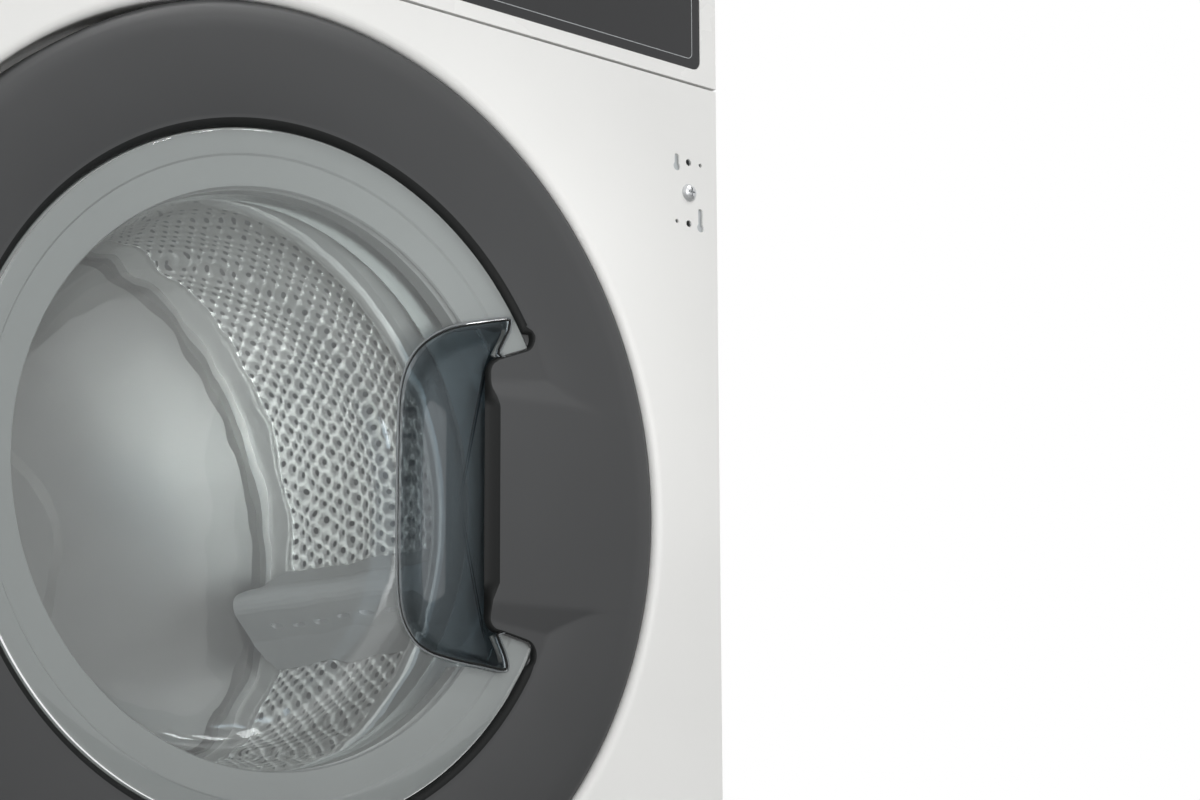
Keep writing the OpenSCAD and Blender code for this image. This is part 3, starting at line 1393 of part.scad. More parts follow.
side_left();
side_right();
rear_panel();
access_cover();
base_tray();
top_plate();
front_panel();
plinth_panel();
top_braces();
control_fascia();
control_insert();
control_board();
program_knob();
on_off_button();
start_button();
drawer_front();
drawer_tray();
drawer_housing();
inlet_valve();
tub_hoses();
door_ring();
door_cover();
finger_pocket();
door_frame();
door_bowl();
hinge_arm();
hinge_base();
door_pins();
latch_hook();
door_lock();
gasket();
gasket_clamp();
tub_front();
tub_rear();
front_weights();
top_weight();
drum_shell();
drum_front();
drum_back();
lifters();
drum_shaft();
bearings();
drum_pulley();
belt();
motor();
motor_rotor();
wash_heater();
dry_duct();
dry_fan();
springs();
damper_cylinders();
damper_rods();
drain_pump();
pump_rotor();
filter_cap();
panel_screws();
foot_front_left();
foot_front_right();
foot_back_left();
foot_back_right();
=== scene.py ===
import math

import bmesh
import bpy
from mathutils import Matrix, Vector


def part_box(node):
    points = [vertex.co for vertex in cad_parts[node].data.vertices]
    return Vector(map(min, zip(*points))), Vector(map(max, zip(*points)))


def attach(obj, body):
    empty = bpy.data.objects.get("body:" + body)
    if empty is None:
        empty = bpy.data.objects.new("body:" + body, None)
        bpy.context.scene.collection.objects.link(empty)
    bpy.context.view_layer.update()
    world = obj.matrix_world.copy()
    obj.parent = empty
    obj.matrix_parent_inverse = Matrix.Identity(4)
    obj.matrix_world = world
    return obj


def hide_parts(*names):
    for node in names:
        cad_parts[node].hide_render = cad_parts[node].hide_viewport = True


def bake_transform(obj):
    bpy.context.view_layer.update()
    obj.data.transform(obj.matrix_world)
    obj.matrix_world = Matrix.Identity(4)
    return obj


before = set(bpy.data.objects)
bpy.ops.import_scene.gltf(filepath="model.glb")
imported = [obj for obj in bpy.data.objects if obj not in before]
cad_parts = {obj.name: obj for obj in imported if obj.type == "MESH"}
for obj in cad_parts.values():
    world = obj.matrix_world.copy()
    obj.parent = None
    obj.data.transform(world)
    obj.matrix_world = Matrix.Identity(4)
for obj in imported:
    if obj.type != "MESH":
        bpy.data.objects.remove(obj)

print("washer dryer: frame loaded")
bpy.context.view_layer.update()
mm = 0.001
weld = {"grid": 0.00001, "turned": 0.00002, "pits": 0.0002}  # metres between vertices that become one

panelLow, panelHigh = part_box("front_panel")
ringLow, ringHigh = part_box("door_ring")
shellLow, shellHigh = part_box("drum_shell")
frontY = panelLow.y  # the front plane
doorZ = (ringLow.z + ringHigh.z) / 2  # middle of the door


def place(x, depth, z):  # millimetres from the middle of the door, depth behind the front plane
    return Vector((x * mm, frontY + depth * mm, doorZ + z * mm))


def clamp(value, low=0.0, high=1.0):
    return max(low, min(high, value))


def softLower(a, b, soft):  # the lower of two depths, rounded where they meet
    gap = clamp((a - b) / soft, -1.0)
    return min(a, b) - soft * (1 - abs(gap)) ** 2 / 4


# materials

def hexColor(text):  # an sRGB hex value as linear colour
    parts = [int(text[i:i + 2], 16) / 255 for i in (1, 3, 5)]
    return [c / 12.92 if c <= 0.04045 else ((c + 0.055) / 1.055) ** 2.4 for c in parts] + [1.0]


def addNode(tree, kind, settings=None, links=None):  # names with a capital are sockets
    node = tree.nodes.new(kind)
    for key, value in (settings or {}).items():
        if isinstance(key, int) or key[0].isupper():
            node.inputs[key].default_value = value
        else:
            setattr(node, key, value)
    for key, source in (links or {}).items():
        tree.links.new(source, node.inputs[key])
    return node


def startMaterial(name, color, settings):  # a plain material, and the coordinates that its patterns read
    material = bpy.data.materials.new(name)
    material.use_nodes = True
    tree = material.node_tree
    shader = tree.nodes["Principled BSDF"]
    shader.inputs["Base Color"].default_value = hexColor(color)
    for key, value in settings.items():
        shader.inputs[key].default_value = value
    spot = addNode(tree, "ShaderNodeTexCoord").outputs["Object"]
    return material, tree, shader, spot


def tint(tree, shader, mask, dark, light):  # base colour between two hex values
    ramp = addNode(tree, "ShaderNodeMix", {"data_type": "RGBA"}, {0: mask})
    ramp.inputs[6].default_value = hexColor(dark)  # 6, 7 and the third output are its colours
    ramp.inputs[7].default_value = hexColor(light)
    tree.links.new(ramp.outputs[2], shader.inputs["Base Color"])


def vary(tree, shader, mask, low, high):  # roughness between two values
    span = addNode(tree, "ShaderNodeMapRange", {"To Min": low, "To Max": high}, {"Value": mask})
    tree.links.new(span.outputs[0], shader.inputs["Roughness"])


def relief(tree, shader, height, depthMm, edgeMm=0.0):  # bump of a real depth, over softly broken edges
    bump = addNode(tree, "ShaderNodeBump", {"Distance": depthMm * mm}, {"Height": height})
    if edgeMm:
        edge = addNode(tree, "ShaderNodeBevel", {"samples": 4, "Radius": edgeMm * mm})
        tree.links.new(edge.outputs[0], bump.inputs["Normal"])
    tree.links.new(bump.outputs[0], shader.inputs["Normal"])


def noise(tree, spot, sizeMm, detail):  # a cloudy pattern of a real size
    return addNode(tree, "ShaderNodeTexNoise", {"Scale": 1 / (sizeMm * mm), "Detail": detail},
                   {"Vector": spot}).outputs[0]


def cells(tree, spot, sizeMm):  # a cell pattern of a real size
    return addNode(tree, "ShaderNodeTexVoronoi", {"Scale": 1 / (sizeMm * mm)}, {"Vector": spot})


def combine(tree, operation, first, second):  # arithmetic on two sockets
    return addNode(tree, "ShaderNodeMath", {"operation": operation}, {0: first, 1: second}).outputs[0]


powderLook = {"color": "#E8E8E6", "dark": "#E3E3E1", "light": "#ECECEA", "rough": (0.38, 0.46), "ior": 1.5,
              "peelMm": 1.6, "depthMm": 0.012, "cloudMm": 140}


def whitePowderCoat():  # baked polyester powder: faint orange peel under a soft gloss
    m, tree, shader, spot = startMaterial("white_powder_coat_satin", powderLook["color"],
                                          {"IOR": powderLook["ior"]})
    cloud = noise(tree, spot, powderLook["cloudMm"], 2.0)
    tint(tree, shader, cloud, powderLook["dark"], powderLook["light"])
    vary(tree, shader, cloud, *powderLook["rough"])
    relief(tree, shader, noise(tree, spot, powderLook["peelMm"], 1.0), powderLook["depthMm"])
    return m


# moulded plastics: spark-eroded grain, a little broader tone drift, softly broken edges
plastics = {
    "whiteAbs": {"name": "white_abs_semi_gloss", "dark": "#E6E6E4", "light": "#EDEDEB",
                 "rough": (0.24, 0.30), "grainMm": 0.5, "depthMm": 0.002, "edgeMm": 0.5},
    "lightAbs": {"name": "light_grey_abs_satin", "dark": "#D2D3D3", "light": "#DCDDDD",
                 "rough": (0.34, 0.42), "grainMm": 0.4, "depthMm": 0.004, "edgeMm": 0.4},
    "darkAbs": {"name": "dark_grey_abs_satin", "dark": "#2F3031", "light": "#343536", "rough": (0.38, 0.44),
                "grainMm": 0.5, "depthMm": 0.006, "edgeMm": 0.3},
    "frameNylon": {"name": "grey_nylon_moulded", "dark": "#767A79", "light": "#7E8281",
                   "rough": (0.34, 0.4), "grainMm": 0.6, "depthMm": 0.001, "edgeMm": 0.3},
    "milkyPp": {"name": "milky_polypropylene", "dark": "#D4D8DA", "light": "#DEE1E3", "rough": (0.36, 0.44),
                "grainMm": 0.7, "depthMm": 0.004, "edgeMm": 0.6},
    "tubPp": {"name": "glass_filled_polypropylene", "dark": "#B4B7B8", "light": "#C3C5C6",
              "rough": (0.5, 0.6), "grainMm": 1.1, "depthMm": 0.02, "edgeMm": 0.8},
    "sealGrey": {"name": "mid_grey_tpe_seal", "dark": "#5C6062", "light": "#64686A", "rough": (0.3, 0.38),
                 "grainMm": 0.5, "depthMm": 0.002, "edgeMm": 0.2},
    "blackNylon": {"name": "black_nylon_moulded", "dark": "#1E1F20", "light": "#272829",
                   "rough": (0.42, 0.52), "grainMm": 0.6, "depthMm": 0.01, "edgeMm": 0.5},
    # painted shade: a near-black with little gloss, for the ring's inner wall and the gap inside the
    # pocket's rim
    "shadeBlack": {"name": "painted_shade_black_abs", "dark": "#161717", "light": "#1C1D1D",
                  "rough": (0.5, 0.6), "grainMm": 0.6, "depthMm": 0.01, "edgeMm": 0.2, "gloss": 0.12},
    "greyEpdm": {"name": "grey_epdm_rubber", "dark": "#BABEBC", "light": "#C6CAC8", "rough": (0.5, 0.6),
                 "grainMm": 1.5, "depthMm": 0.02, "edgeMm": 0.8},
    "blackEpdm": {"name": "black_epdm_rubber", "dark": "#1B1C1C", "light": "#242525", "rough": (0.6, 0.72),
                  "grainMm": 1.3, "depthMm": 0.02, "edgeMm": 0.4},
    "solderMask": {"name": "green_solder_mask", "dark": "#15583A", "light": "#1B6644", "rough": (0.3, 0.38),
                   "grainMm": 0.8, "depthMm": 0.004, "edgeMm": 0.2},
    "statorPaint": {"name": "grey_stator_enamel", "dark": "#6D7073", "light": "#7B7E80",
                    "rough": (0.36, 0.44), "grainMm": 1.2, "depthMm": 0.01, "edgeMm": 0.4},
}
plasticLook = {"ior": 1.5, "gloss": 0.5, "driftMm": 60}  # what they share


def mouldedPlastic(look):
    m, tree, shader, spot = startMaterial(look["name"], look["dark"], {
        "IOR": plasticLook["ior"], "Specular IOR Level": look.get("gloss", plasticLook["gloss"])})
    drift = noise(tree, spot, plasticLook["driftMm"], 3.0)
    tint(tree, shader, drift, look["dark"], look["light"])
    vary(tree, shader, drift, *look["rough"])
    relief(tree, shader, noise(tree, spot, look["grainMm"], 2.0), look["depthMm"], look["edgeMm"])
    return m


metals = {
    "steel": {"name": "bright_zinc_steel", "dark": "#B9BBBD", "light": "#CDCECF", "rough": (0.24, 0.36),
              "grainMm": 0.8, "depthMm": 0.004, "edgeMm": 0.2},
    "castAluminium": {"name": "cast_aluminium_blasted", "dark": "#A5A7A9", "light": "#B9BBBC",
                      "rough": (0.42, 0.55), "grainMm": 0.9, "depthMm": 0.03, "edgeMm": 0.6},
}


def bareMetal(look):  # turned, rolled or cast metal with a fine pitted skin
    m, tree, shader, spot = startMaterial(look["name"], look["dark"], {"Metallic": 1.0})
    grain = noise(tree, spot, look["grainMm"], 3.0)
    tint(tree, shader, grain, look["dark"], look["light"])
    vary(tree, shader, grain, *look["rough"])
    relief(tree, shader, grain, look["depthMm"], look["edgeMm"])
    return m


zincLook = {"dark": "#B3B7B9", "light": "#C5C8CA", "rough": (0.34, 0.5), "spangleMm": 6, "fineMm": 0.7,
            "depthMm": 0.004, "edgeMm": 0.5}


def zincSheet():  # hot-dip galvanised sheet: pale metal in large dull crystals
    m, tree, shader, spot = startMaterial("galvanised_steel_spangle", zincLook["dark"], {"Metallic": 1.0})
    spangle = cells(tree, spot, zincLook["spangleMm"]).outputs["Color"]
    grey = addNode(tree, "ShaderNodeRGBToBW", links={0: spangle}).outputs[0]
    tint(tree, shader, grey, zincLook["dark"], zincLook["light"])
    vary(tree, shader, grey, *zincLook["rough"])
    relief(tree, shader, noise(tree, spot, zincLook["fineMm"], 2.0), zincLook["depthMm"], zincLook["edgeMm"])
    return m


# painted light and shade: the drum's sheet is lightened and a third of it made diffuse so that its inside
# looks lit, and its back is darkened where the lamps fall on it
drumSteels = {
    "pressed": {"name": "pressed_stainless_steel", "dark": "#EAEAE8", "light": "#F4F4F2", "metallic": 0.66},
    "shadedSteel": {"name": "stainless_steel_painted_shade", "dark": "#AAAAA8", "light": "#B6B6B4", "metallic": 0.85},
}
drumSteelLook = {"rough": (0.28, 0.36), "lineMm": 0.6, "squeeze": 0.06, "driftMm": 35, "depthMm": 0.003}


def drumStainless(look):  # stainless steel sheet, drawn lines run round the drum
    m, tree, shader, spot = startMaterial(look["name"], look["dark"], {"Metallic": look["metallic"]})
    squeeze = drumSteelLook["squeeze"]
    stretch = addNode(tree, "ShaderNodeMapping", {"Scale": (squeeze, 1.0, squeeze)}, {"Vector": spot})
    drift = noise(tree, spot, drumSteelLook["driftMm"], 2.0)
    tint(tree, shader, drift, look["dark"], look["light"])
    vary(tree, shader, drift, *drumSteelLook["rough"])
    lines = noise(tree, stretch.outputs[0], drumSteelLook["lineMm"], 3.0)
    relief(tree, shader, lines, drumSteelLook["depthMm"])
    return m


clears = {
    "cover": {"name": "clear_polycarbonate", "color": "#FAFBFB", "ior": 1.5, "coat": 0.0, "haze": 0.0,
              "waveMm": 60, "depthMm": 0.03},
    "pocket": {"name": "smoked_polycarbonate", "color": "#A9B1B6", "ior": 1.03, "coat": 1.0, "haze": 0.09,
               "waveMm": 40, "depthMm": 0.05},  # a thin even wall hardly bends what shows through it
    "bowl": {"name": "pressed_borosilicate_glass", "color": "#FAFCFC", "ior": 1.47, "coat": 0.0, "haze": 0.0,
             "waveMm": 34, "depthMm": 0.9},
}


def clearMoulding(look):  # a clear body with the slow waviness that a mould leaves
    m, tree, shader, spot = startMaterial(look["name"], look["color"], {
        "Transmission Weight": 1.0 - look["haze"], "Roughness": 0.0, "IOR": look["ior"],
        "Coat Weight": look["coat"], "Coat Roughness": 0.02})
    relief(tree, shader, noise(tree, spot, look["waveMm"], 1.0), look["depthMm"])
    path = addNode(tree, "ShaderNodeLightPath")
    soft = combine(tree, "MAXIMUM", path.outputs["Is Shadow Ray"], path.outputs["Is Diffuse Ray"])
    mirrored = combine(tree, "SUBTRACT", path.outputs["Is Glossy Ray"],
                       path.outputs["Is Transmission Ray"])  # refracted rays count as glossy too
    through = combine(tree, "MAXIMUM", soft, mirrored)
    passing = addNode(tree, "ShaderNodeBsdfTransparent", {"Color": hexColor(look["color"])})
    blend = addNode(tree, "ShaderNodeMixShader",
                    links={0: through, 1: shader.outputs[0], 2: passing.outputs[0]})
    tree.links.new(blend.outputs[0], tree.nodes["Material Output"].inputs["Surface"])
    return m


glossLook = {"color": "#1C1D1F", "rough": (0.1, 0.16), "ior": 1.49, "hazeMm": 20, "depthMm": 0.01,
             "edgeMm": 0.3}


def glossBlackPanel():  # piano-black acrylic: near mirror, a trace of polishing haze
    m, tree, shader, spot = startMaterial("gloss_black_acrylic", glossLook["color"],
                                          {"IOR": glossLook["ior"]})
    haze = noise(tree, spot, glossLook["hazeMm"], 3.0)
    vary(tree, shader, haze, *glossLook["rough"])
    relief(tree, shader, haze, glossLook["depthMm"], glossLook["edgeMm"])
    return m


concreteLook = {"dark": "#7F7D78", "light": "#A3A19B", "rough": 0.9, "gritMm": 4, "depthMm": 0.5,
                "edgeMm": 1.0}


def castConcrete():  # grey concrete with fine aggregate and pin holes
    m, tree, shader, spot = startMaterial("cast_concrete", concreteLook["dark"],
                                          {"Roughness": concreteLook["rough"]})
    grit = cells(tree, spot, concreteLook["gritMm"]).outputs["Distance"]
    tint(tree, shader, grit, concreteLook["dark"], concreteLook["light"])
    relief(tree, shader, grit, concreteLook["depthMm"], concreteLook["edgeMm"])
    return m


inkLook = {"color": "#A9ACAE", "rough": 0.5, "filmMm": 0.8, "depthMm": 0.002}


def inkPrint():  # pad-printed ink, a matt film
    m, tree, shader, spot = startMaterial("pale_grey_ink", inkLook["color"], {"Roughness": inkLook["rough"]})
    relief(tree, shader, noise(tree, spot, inkLook["filmMm"], 2.0), inkLook["depthMm"])
    return m


plastic = {key: mouldedPlastic(look) for key, look in plastics.items()}
metal = {key: bareMetal(look) for key, look in metals.items()}
clear = {key: clearMoulding(look) for key, look in clears.items()}
drumSteel = {key: drumStainless(look) for key, look in drumSteels.items()}
zinc = zincSheet()
paleInk = inkPrint()

nodeFinishes = [  # a finish, and the CAD nodes that have it
    (whitePowderCoat(), "front_panel"),
    (zinc, "side_left side_right rear_panel access_cover base_tray top_plate plinth_panel top_braces"),
    (plastic["whiteAbs"], "control_fascia drawer_front"),
    (glossBlackPanel(), "control_insert"),
    (plastic["solderMask"], "control_board"),
    (plastic["lightAbs"], "program_knob on_off_button start_button lifters drain_pump"),
    (plastic["milkyPp"], "drawer_tray drawer_housing inlet_valve"),
    (plastic["darkAbs"], "door_ring"),
    (plastic["frameNylon"], "door_frame"),
    (clear["cover"], "door_cover"),
    (clear["pocket"], "finger_pocket"),
    (clear["bowl"], "door_bowl"),
    (plastic["greyEpdm"], "gasket"),
    (plastic["blackEpdm"], "tub_hoses belt"),
    (plastic["tubPp"], "tub_front tub_rear"),
    (plastic["blackNylon"], "dry_fan door_lock damper_cylinders pump_rotor filter_cap"),
    (plastic["blackNylon"], "foot_front_left foot_front_right foot_back_left foot_back_right"),
    (plastic["statorPaint"], "motor"),
    (metal["steel"], "door_pins latch_hook gasket_clamp bearings motor_rotor wash_heater springs"),
    (metal["steel"], "damper_rods panel_screws"),
    (metal["castAluminium"], "hinge_arm hinge_base drum_shaft drum_pulley dry_duct"),
    # the drum's sheet with painted light, its back with painted shade
    (drumSteel["pressed"], "drum_shell drum_front"),
    (drumSteel["shadedSteel"], "drum_back"),
    (castConcrete(), "front_weights top_weight"),
]
for finish, nodeNames in nodeFinishes:
    for nodeName in nodeNames.split():
        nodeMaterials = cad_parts[nodeName].data.materials
        nodeMaterials.clear()
        nodeMaterials.append(finish)
print("washer dryer: materials made")


# modelling helpers

def pickNothing():
    if bpy.context.object and bpy.context.object.mode != "OBJECT":
        bpy.ops.object.mode_set(mode="OBJECT")
    bpy.ops.object.select_all(action="DESELECT")


def pick(piece):
    pickNothing()
    piece.select_set(True)
    bpy.context.view_layer.objects.active = piece


def seat(piece, body, slotName, finish, *nodes, angle=35):  # final place, shading, finish and body
    pick(piece)
    bpy.ops.object.transform_apply(location=True, rotation=True, scale=True)
    bpy.ops.object.shade_smooth_by_angle(angle=math.radians(angle))
    if not piece.data.materials:
        piece.data.materials.append(finish)
    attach(piece, body)
    if nodes:
        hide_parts(*nodes)


def turnPiece(name, profile, steps=256):  # profile of [radius, depth] spun about the door's axis, closed
    pickNothing()
    bpy.ops.mesh.primitive_plane_add(size=mm, location=place(profile[0][0], profile[0][1], 0))
    piece = bpy.context.object
    piece.name = name
    bpy.ops.object.mode_set(mode="EDIT")
    bpy.ops.mesh.merge(type="CENTER")  # to one vertex, which is drawn along the profile
    for before, after in zip(profile, profile[1:] + profile[:1]):
        step = ((after[0] - before[0]) * mm, (after[1] - before[1]) * mm, 0)
        bpy.ops.mesh.extrude_region_move(TRANSFORM_OT_translate={"value": step})
    bpy.ops.mesh.select_all(action="SELECT")
    bpy.ops.mesh.spin(steps=steps, angle=2 * math.pi, center=place(0, 0, 0), axis=(0, 1, 0))
    bpy.ops.mesh.select_all(action="SELECT")
    bpy.ops.mesh.remove_doubles(threshold=weld["turned"])
    bpy.ops.mesh.normals_make_consistent(inside=False)
    bpy.ops.object.mode_set(mode="OBJECT")
    return piece


def smoothLine(points, steps=4):  # a Catmull-Rom curve through the points
    ends = [points[0]] + points + [points[-1]]
    line = []
    for a, b, c, d in zip(ends, ends[1:], ends[2:], ends[3:]):
        for k in range(steps):
            t = k / steps
            line.append([0.5 * (2 * q + (r - p) * t + (2 * p - 5 * q + 4 * r - s) * t * t
                                + (3 * q - p - 3 * r + s) * t ** 3) for p, q, r, s in zip(a, b, c, d)])
    return line + [points[-1]]


def wrapGrid(name, across, along, spotAt, zoneAt=None):  # a grid whose vertices go to spotAt(u, v)
    pickNothing()
    bpy.ops.mesh.primitive_grid_add(x_subdivisions=across, y_subdivisions=along, size=1)
    piece = bpy.context.object
    piece.name = name
    if zoneAt:
        for face in piece.data.polygons:
            mid = face.center
            face.material_index = zoneAt(int((mid.x + 0.5) * across), int((mid.y + 0.5) * along))
    for vertex in piece.data.vertices:
        u = round((vertex.co.x + 0.5) * across)
        v = round((vertex.co.y + 0.5) * along)
        vertex.co = spotAt(u, v)
    bpy.ops.object.mode_set(mode="EDIT")
    bpy.ops.mesh.select_all(action="SELECT")
    bpy.ops.mesh.remove_doubles(threshold=weld["grid"])
    bpy.ops.mesh.delete_loose(use_verts=True, use_edges=True, use_faces=False)
    bpy.ops.mesh.select_all(action="SELECT")
    bpy.ops.mesh.normals_make_consistent(inside=False)
    bpy.ops.object.mode_set(mode="OBJECT")
    return piece


def cutWith(piece, cutter):  # takes the cutter's shape out of the piece
    pick(piece)
    cut = piece.modifiers.new("cut", "BOOLEAN")
    cut.operation = "DIFFERENCE"
    cut.object = cutter
    bpy.ops.object.modifier_apply(modifier="cut")
    bpy.data.objects.remove(cutter)


def prism(points, front, back):  # a block with this outline of [x, z], from one depth to another
    pickNothing()
    bpy.ops.mesh.primitive_circle_add(vertices=len(points), fill_type="NGON")
    piece = bpy.context.object
    for vertex, (x, z) in zip(piece.data.vertices, points):
        vertex.co = place(x, front, z)
    bpy.ops.object.mode_set(mode="EDIT")
    bpy.ops.mesh.select_all(action="SELECT")
    bpy.ops.mesh.extrude_region_move(TRANSFORM_OT_translate={"value": (0, (back - front) * mm, 0)})
    bpy.ops.mesh.select_all(action="SELECT")
    bpy.ops.mesh.normals_make_consistent(inside=False)
    bpy.ops.object.mode_set(mode="OBJECT")
    return piece


def sweptLip(name, line, radius, shift, depth, sides=10):  # a round bead along a closed line of x, z, normal
    def spotAt(u, v):
        x, z, nx, nz = line[u % len(line)]
        turn = 2 * math.pi * v / sides
        out = shift + radius * math.cos(turn)
        return place(x + nx * out, depth + radius * math.sin(turn), z + nz * out)
    return wrapGrid(name, len(line), sides, spotAt)


def arcPoint(x, z, r, angle):
    return x + r * math.cos(math.radians(angle)), z + r * math.sin(math.radians(angle))


def arcPoints(x, z, r, start, end, steps):
    return [arcPoint(x, z, r, start + (end - start) * i / steps) for i in range(steps + 1)]


def evenly(points, count):  # the same line, cut into equal steps
    runs = [math.dist(a, b) for a, b in zip(points, points[1:])]
    total, line, k, done = sum(runs), [], 0, 0.0
    for i in range(count + 1):
        target = total * i / count
        while k < len(runs) - 1 and done + runs[k] < target:
            done += runs[k]
            k += 1
        share = min(1.0, (target - done) / runs[k]) if runs[k] else 0.0
        line.append(tuple(p + (q - p) * share for p, q in zip(points[k], points[k + 1])))
    return line


def normalAt(spots, i):  # outward normal of a closed line at one of its points
    (x0, z0), (x1, z1) = spots[i - 1], spots[(i + 1) % len(spots)]
    run = math.hypot(x1 - x0, z1 - z0) or 1.0
    return (z1 - z0) / run, (x0 - x1) / run


discSides = 24


def disc(x, z, r, front, back):
    return prism(arcPoints(x, z, r, 0, 360 - 360 / discSides, discSides - 1), front, back)


def joined(pieces, name):
    pickNothing()
    for piece in pieces:
        piece.select_set(True)
    bpy.context.view_layer.objects.active = pieces[0]
    bpy.ops.object.join()
    pieces[0].name = name
    return pieces[0]


# door ring: dished satin moulding, with the grip plate and its two ramps at the right

ring = {"foot": 181.2, "footDepth": 11.4, "lip": 185.4, "lipDepth": 6.6, "crown": 230.0, "crownDepth": 0.8,
        "bend": 2.0, "faceEnd": 238.0, "edgeWide": 8, "edgeDrop": 0.7, "inner": 182.6, "back": 15.5,
        "rim": [(243.0, 2.1), (245.9, 3.2), (247.1, 5.2), (247.1, 15.5)],  # radius and depth
        "lowTurn": -29.0, "upTurn": 31.0, "circleSteps": 300, "wallRows": 7, "faceRows": 44,
        "hollowBack": 0.6, "seamOut": 0.3, "seamBack": 0.03}
grip = {"depth": 0.9, "half": 57.0, "edge": 222, "tilt": 0.036, "ramp": 0.27, "crease": 0.35, "back": 10.0,
        "backFrom": 125, "backTo": 164, "backHalf": 97}
ringWall = {"wide": 6.4, "thin": 1.7, "end": 134, "top": 62, "low": -56, "ease": 10,
            "leanFrom": 4.5, "leanSpan": 1.5, "leanPower": 0.8}
hingeSide = {"from": 60, "span": 80, "radius": 240.8, "share": 0.6,  # room for the rim to turn into the dish
             "notchAt": (-235, 8, 0), "notchSize": (30, 40, 78)}
ringNotch = [  # beside the grip: points, first one used, count of steps, turn at the rim in degrees
    (arcPoints(155.2, -83.6, 7.0, -38, 80, 10) + [(139.0, -72.9)], 0, 26, 14),
    (arcPoints(138.2, -64.0, 8.8, 265, 180, 8), 1, 14, 1.6),
    ([(129.3, -64.0), (128.6, 70.5)], 1, 60, 29),
    (arcPoints(137.6, 70.5, 9.0, 180, 115, 8), 1, 14, 1.6),
    ([(134.8, 79.6)] + arcPoints(153.0, 93.6, 6.6, -72, 25, 8), 0, 26, 13.8),
]


def ringInnerLine():  # foot of the inner wall, its normal, the wall's width and the angle at the rim
    spots, angles, turn = [], [], ring["lowTurn"]
    for points, first, count, span in ringNotch:
        spots += evenly(points, count)[first:]
        angles += [turn + span * i / count for i in range(first, count + 1)]
        turn += span
    notchCount, n = len(spots), ring["circleSteps"]
    circle = [ring["upTurn"] + (360 + ring["lowTurn"] - ring["upTurn"]) * i / n for i in range(1, n)]
    spots += [arcPoint(0, 0, ring["foot"], a) for a in circle]
    line = []
    for i, ((x, z), angle) in enumerate(zip(spots, angles + circle)):
        wall = ring["lip"] - ring["foot"]
        if i < notchCount:
            inside = min(ringWall["top"] - z, z - ringWall["low"])
            along = clamp(inside / ringWall["ease"]) if x < ringWall["end"] else 0.0
            wall = ringWall["thin"] + (ringWall["wide"] - ringWall["thin"]) * along
        line.append((x, z, *normalAt(spots, i), wall, angle))
    return line


def ringDepth(x, z):  # depth of the ring's face
    s = clamp((ring["crown"] - math.hypot(x, z)) / (ring["crown"] - ring["lip"]))
    dish = ring["crownDepth"] + (ring["lipDepth"] - ring["crownDepth"]) * s ** ring["bend"]
    if x < 0:
        return dish
    plate = grip["depth"] + max(0.0, grip["edge"] - x) * grip["tilt"]
    plate += max(0.0, abs(z) - grip["half"]) * grip["ramp"]
    return softLower(dish, plate, grip["crease"])


def makeDoorRing():
    line = ringInnerLine()
    wallRows, faceRows, rim = ring["wallRows"], ring["faceRows"], ring["rim"]
    rows = wallRows + faceRows + len(rim) + 3  # three along the back

    def spotAt(u, v):
        x, z, nx, nz, wall, angle = line[u % len(line)]
        ca, sa = math.cos(math.radians(angle)), math.sin(math.radians(angle))
        underGrip = grip["backFrom"] < x < grip["backTo"] and abs(z) < grip["backHalf"]
        foot = grip["back"] if underGrip else ring["footDepth"]
        lipX, lipZ = x + nx * wall, z + nz * wall
        lipDepth = ringDepth(lipX + nx, lipZ + nz)
        v = v % rows
        if v < wallRows:  # a round shoulder, or a lean wall with a tight edge along the plate
            t = v / (wallRows - 1)
            flat = clamp((wall - ringWall["leanFrom"]) / ringWall["leanSpan"])
            turn = math.pi / 2 * t
            out = (1 - flat) * (1 - math.cos(turn)) + flat * t ** ringWall["leanPower"]
            rise = (1 - flat) * math.sin(turn) + flat * t
            return place(x + nx * wall * out, foot + (lipDepth - foot) * rise, z + nz * wall * out)
        v -= wallRows
        if v < faceRows:
            t = (v + 1) / faceRows
            faceX = lipX + (ring["faceEnd"] * ca - lipX) * t
            faceZ = lipZ + (ring["faceEnd"] * sa - lipZ) * t
            edge = max(0.0, math.hypot(faceX, faceZ) - ring["crown"]) / ring["edgeWide"]
            return place(faceX, ringDepth(faceX, faceZ) + ring["edgeDrop"] * edge * edge, faceZ)
        v -= faceRows
        if v < len(rim):
            r, depth = rim[v]
            swing = clamp((-r * ca - hingeSide["from"]) / hingeSide["span"])
            r -= (r - hingeSide["radius"]) * hingeSide["share"] * swing
            return place(r * ca, depth, r * sa)
        v -= len(rim)
        if v == 0:
            return place(ring["inner"] * ca, ring["back"], ring["inner"] * sa)
        if v == 1:
            return place(ring["inner"] * ca, foot + ring["hollowBack"], ring["inner"] * sa)
        return place(x + nx * ring["seamOut"], foot + ring["seamBack"], z + nz * ring["seamOut"])

    piece = wrapGrid("doorRing", len(line), rows, spotAt,
                     lambda u, v: 1 if v < wallRows - 1 or v >= rows - 1 else 0)
    piece.data.materials.append(plastic["darkAbs"])
    piece.data.materials.append(plastic["shadeBlack"])  # painted shade: the inner wall takes a near-black with little gloss
    pickNothing()
    bpy.ops.mesh.primitive_cube_add(size=1, location=place(*hingeSide["notchAt"]),
                                    scale=[side * mm for side in hingeSide["notchSize"]])
    cutWith(piece, bpy.context.object)
    seat(piece, "door", "ring_plastic", plastic["darkAbs"], "door_ring", angle=40)


makeDoorRing()
print("washer dryer: door ring")


# finger pocket: a smoked scoop in an opening of the cover, shaped like a D, open under the grip

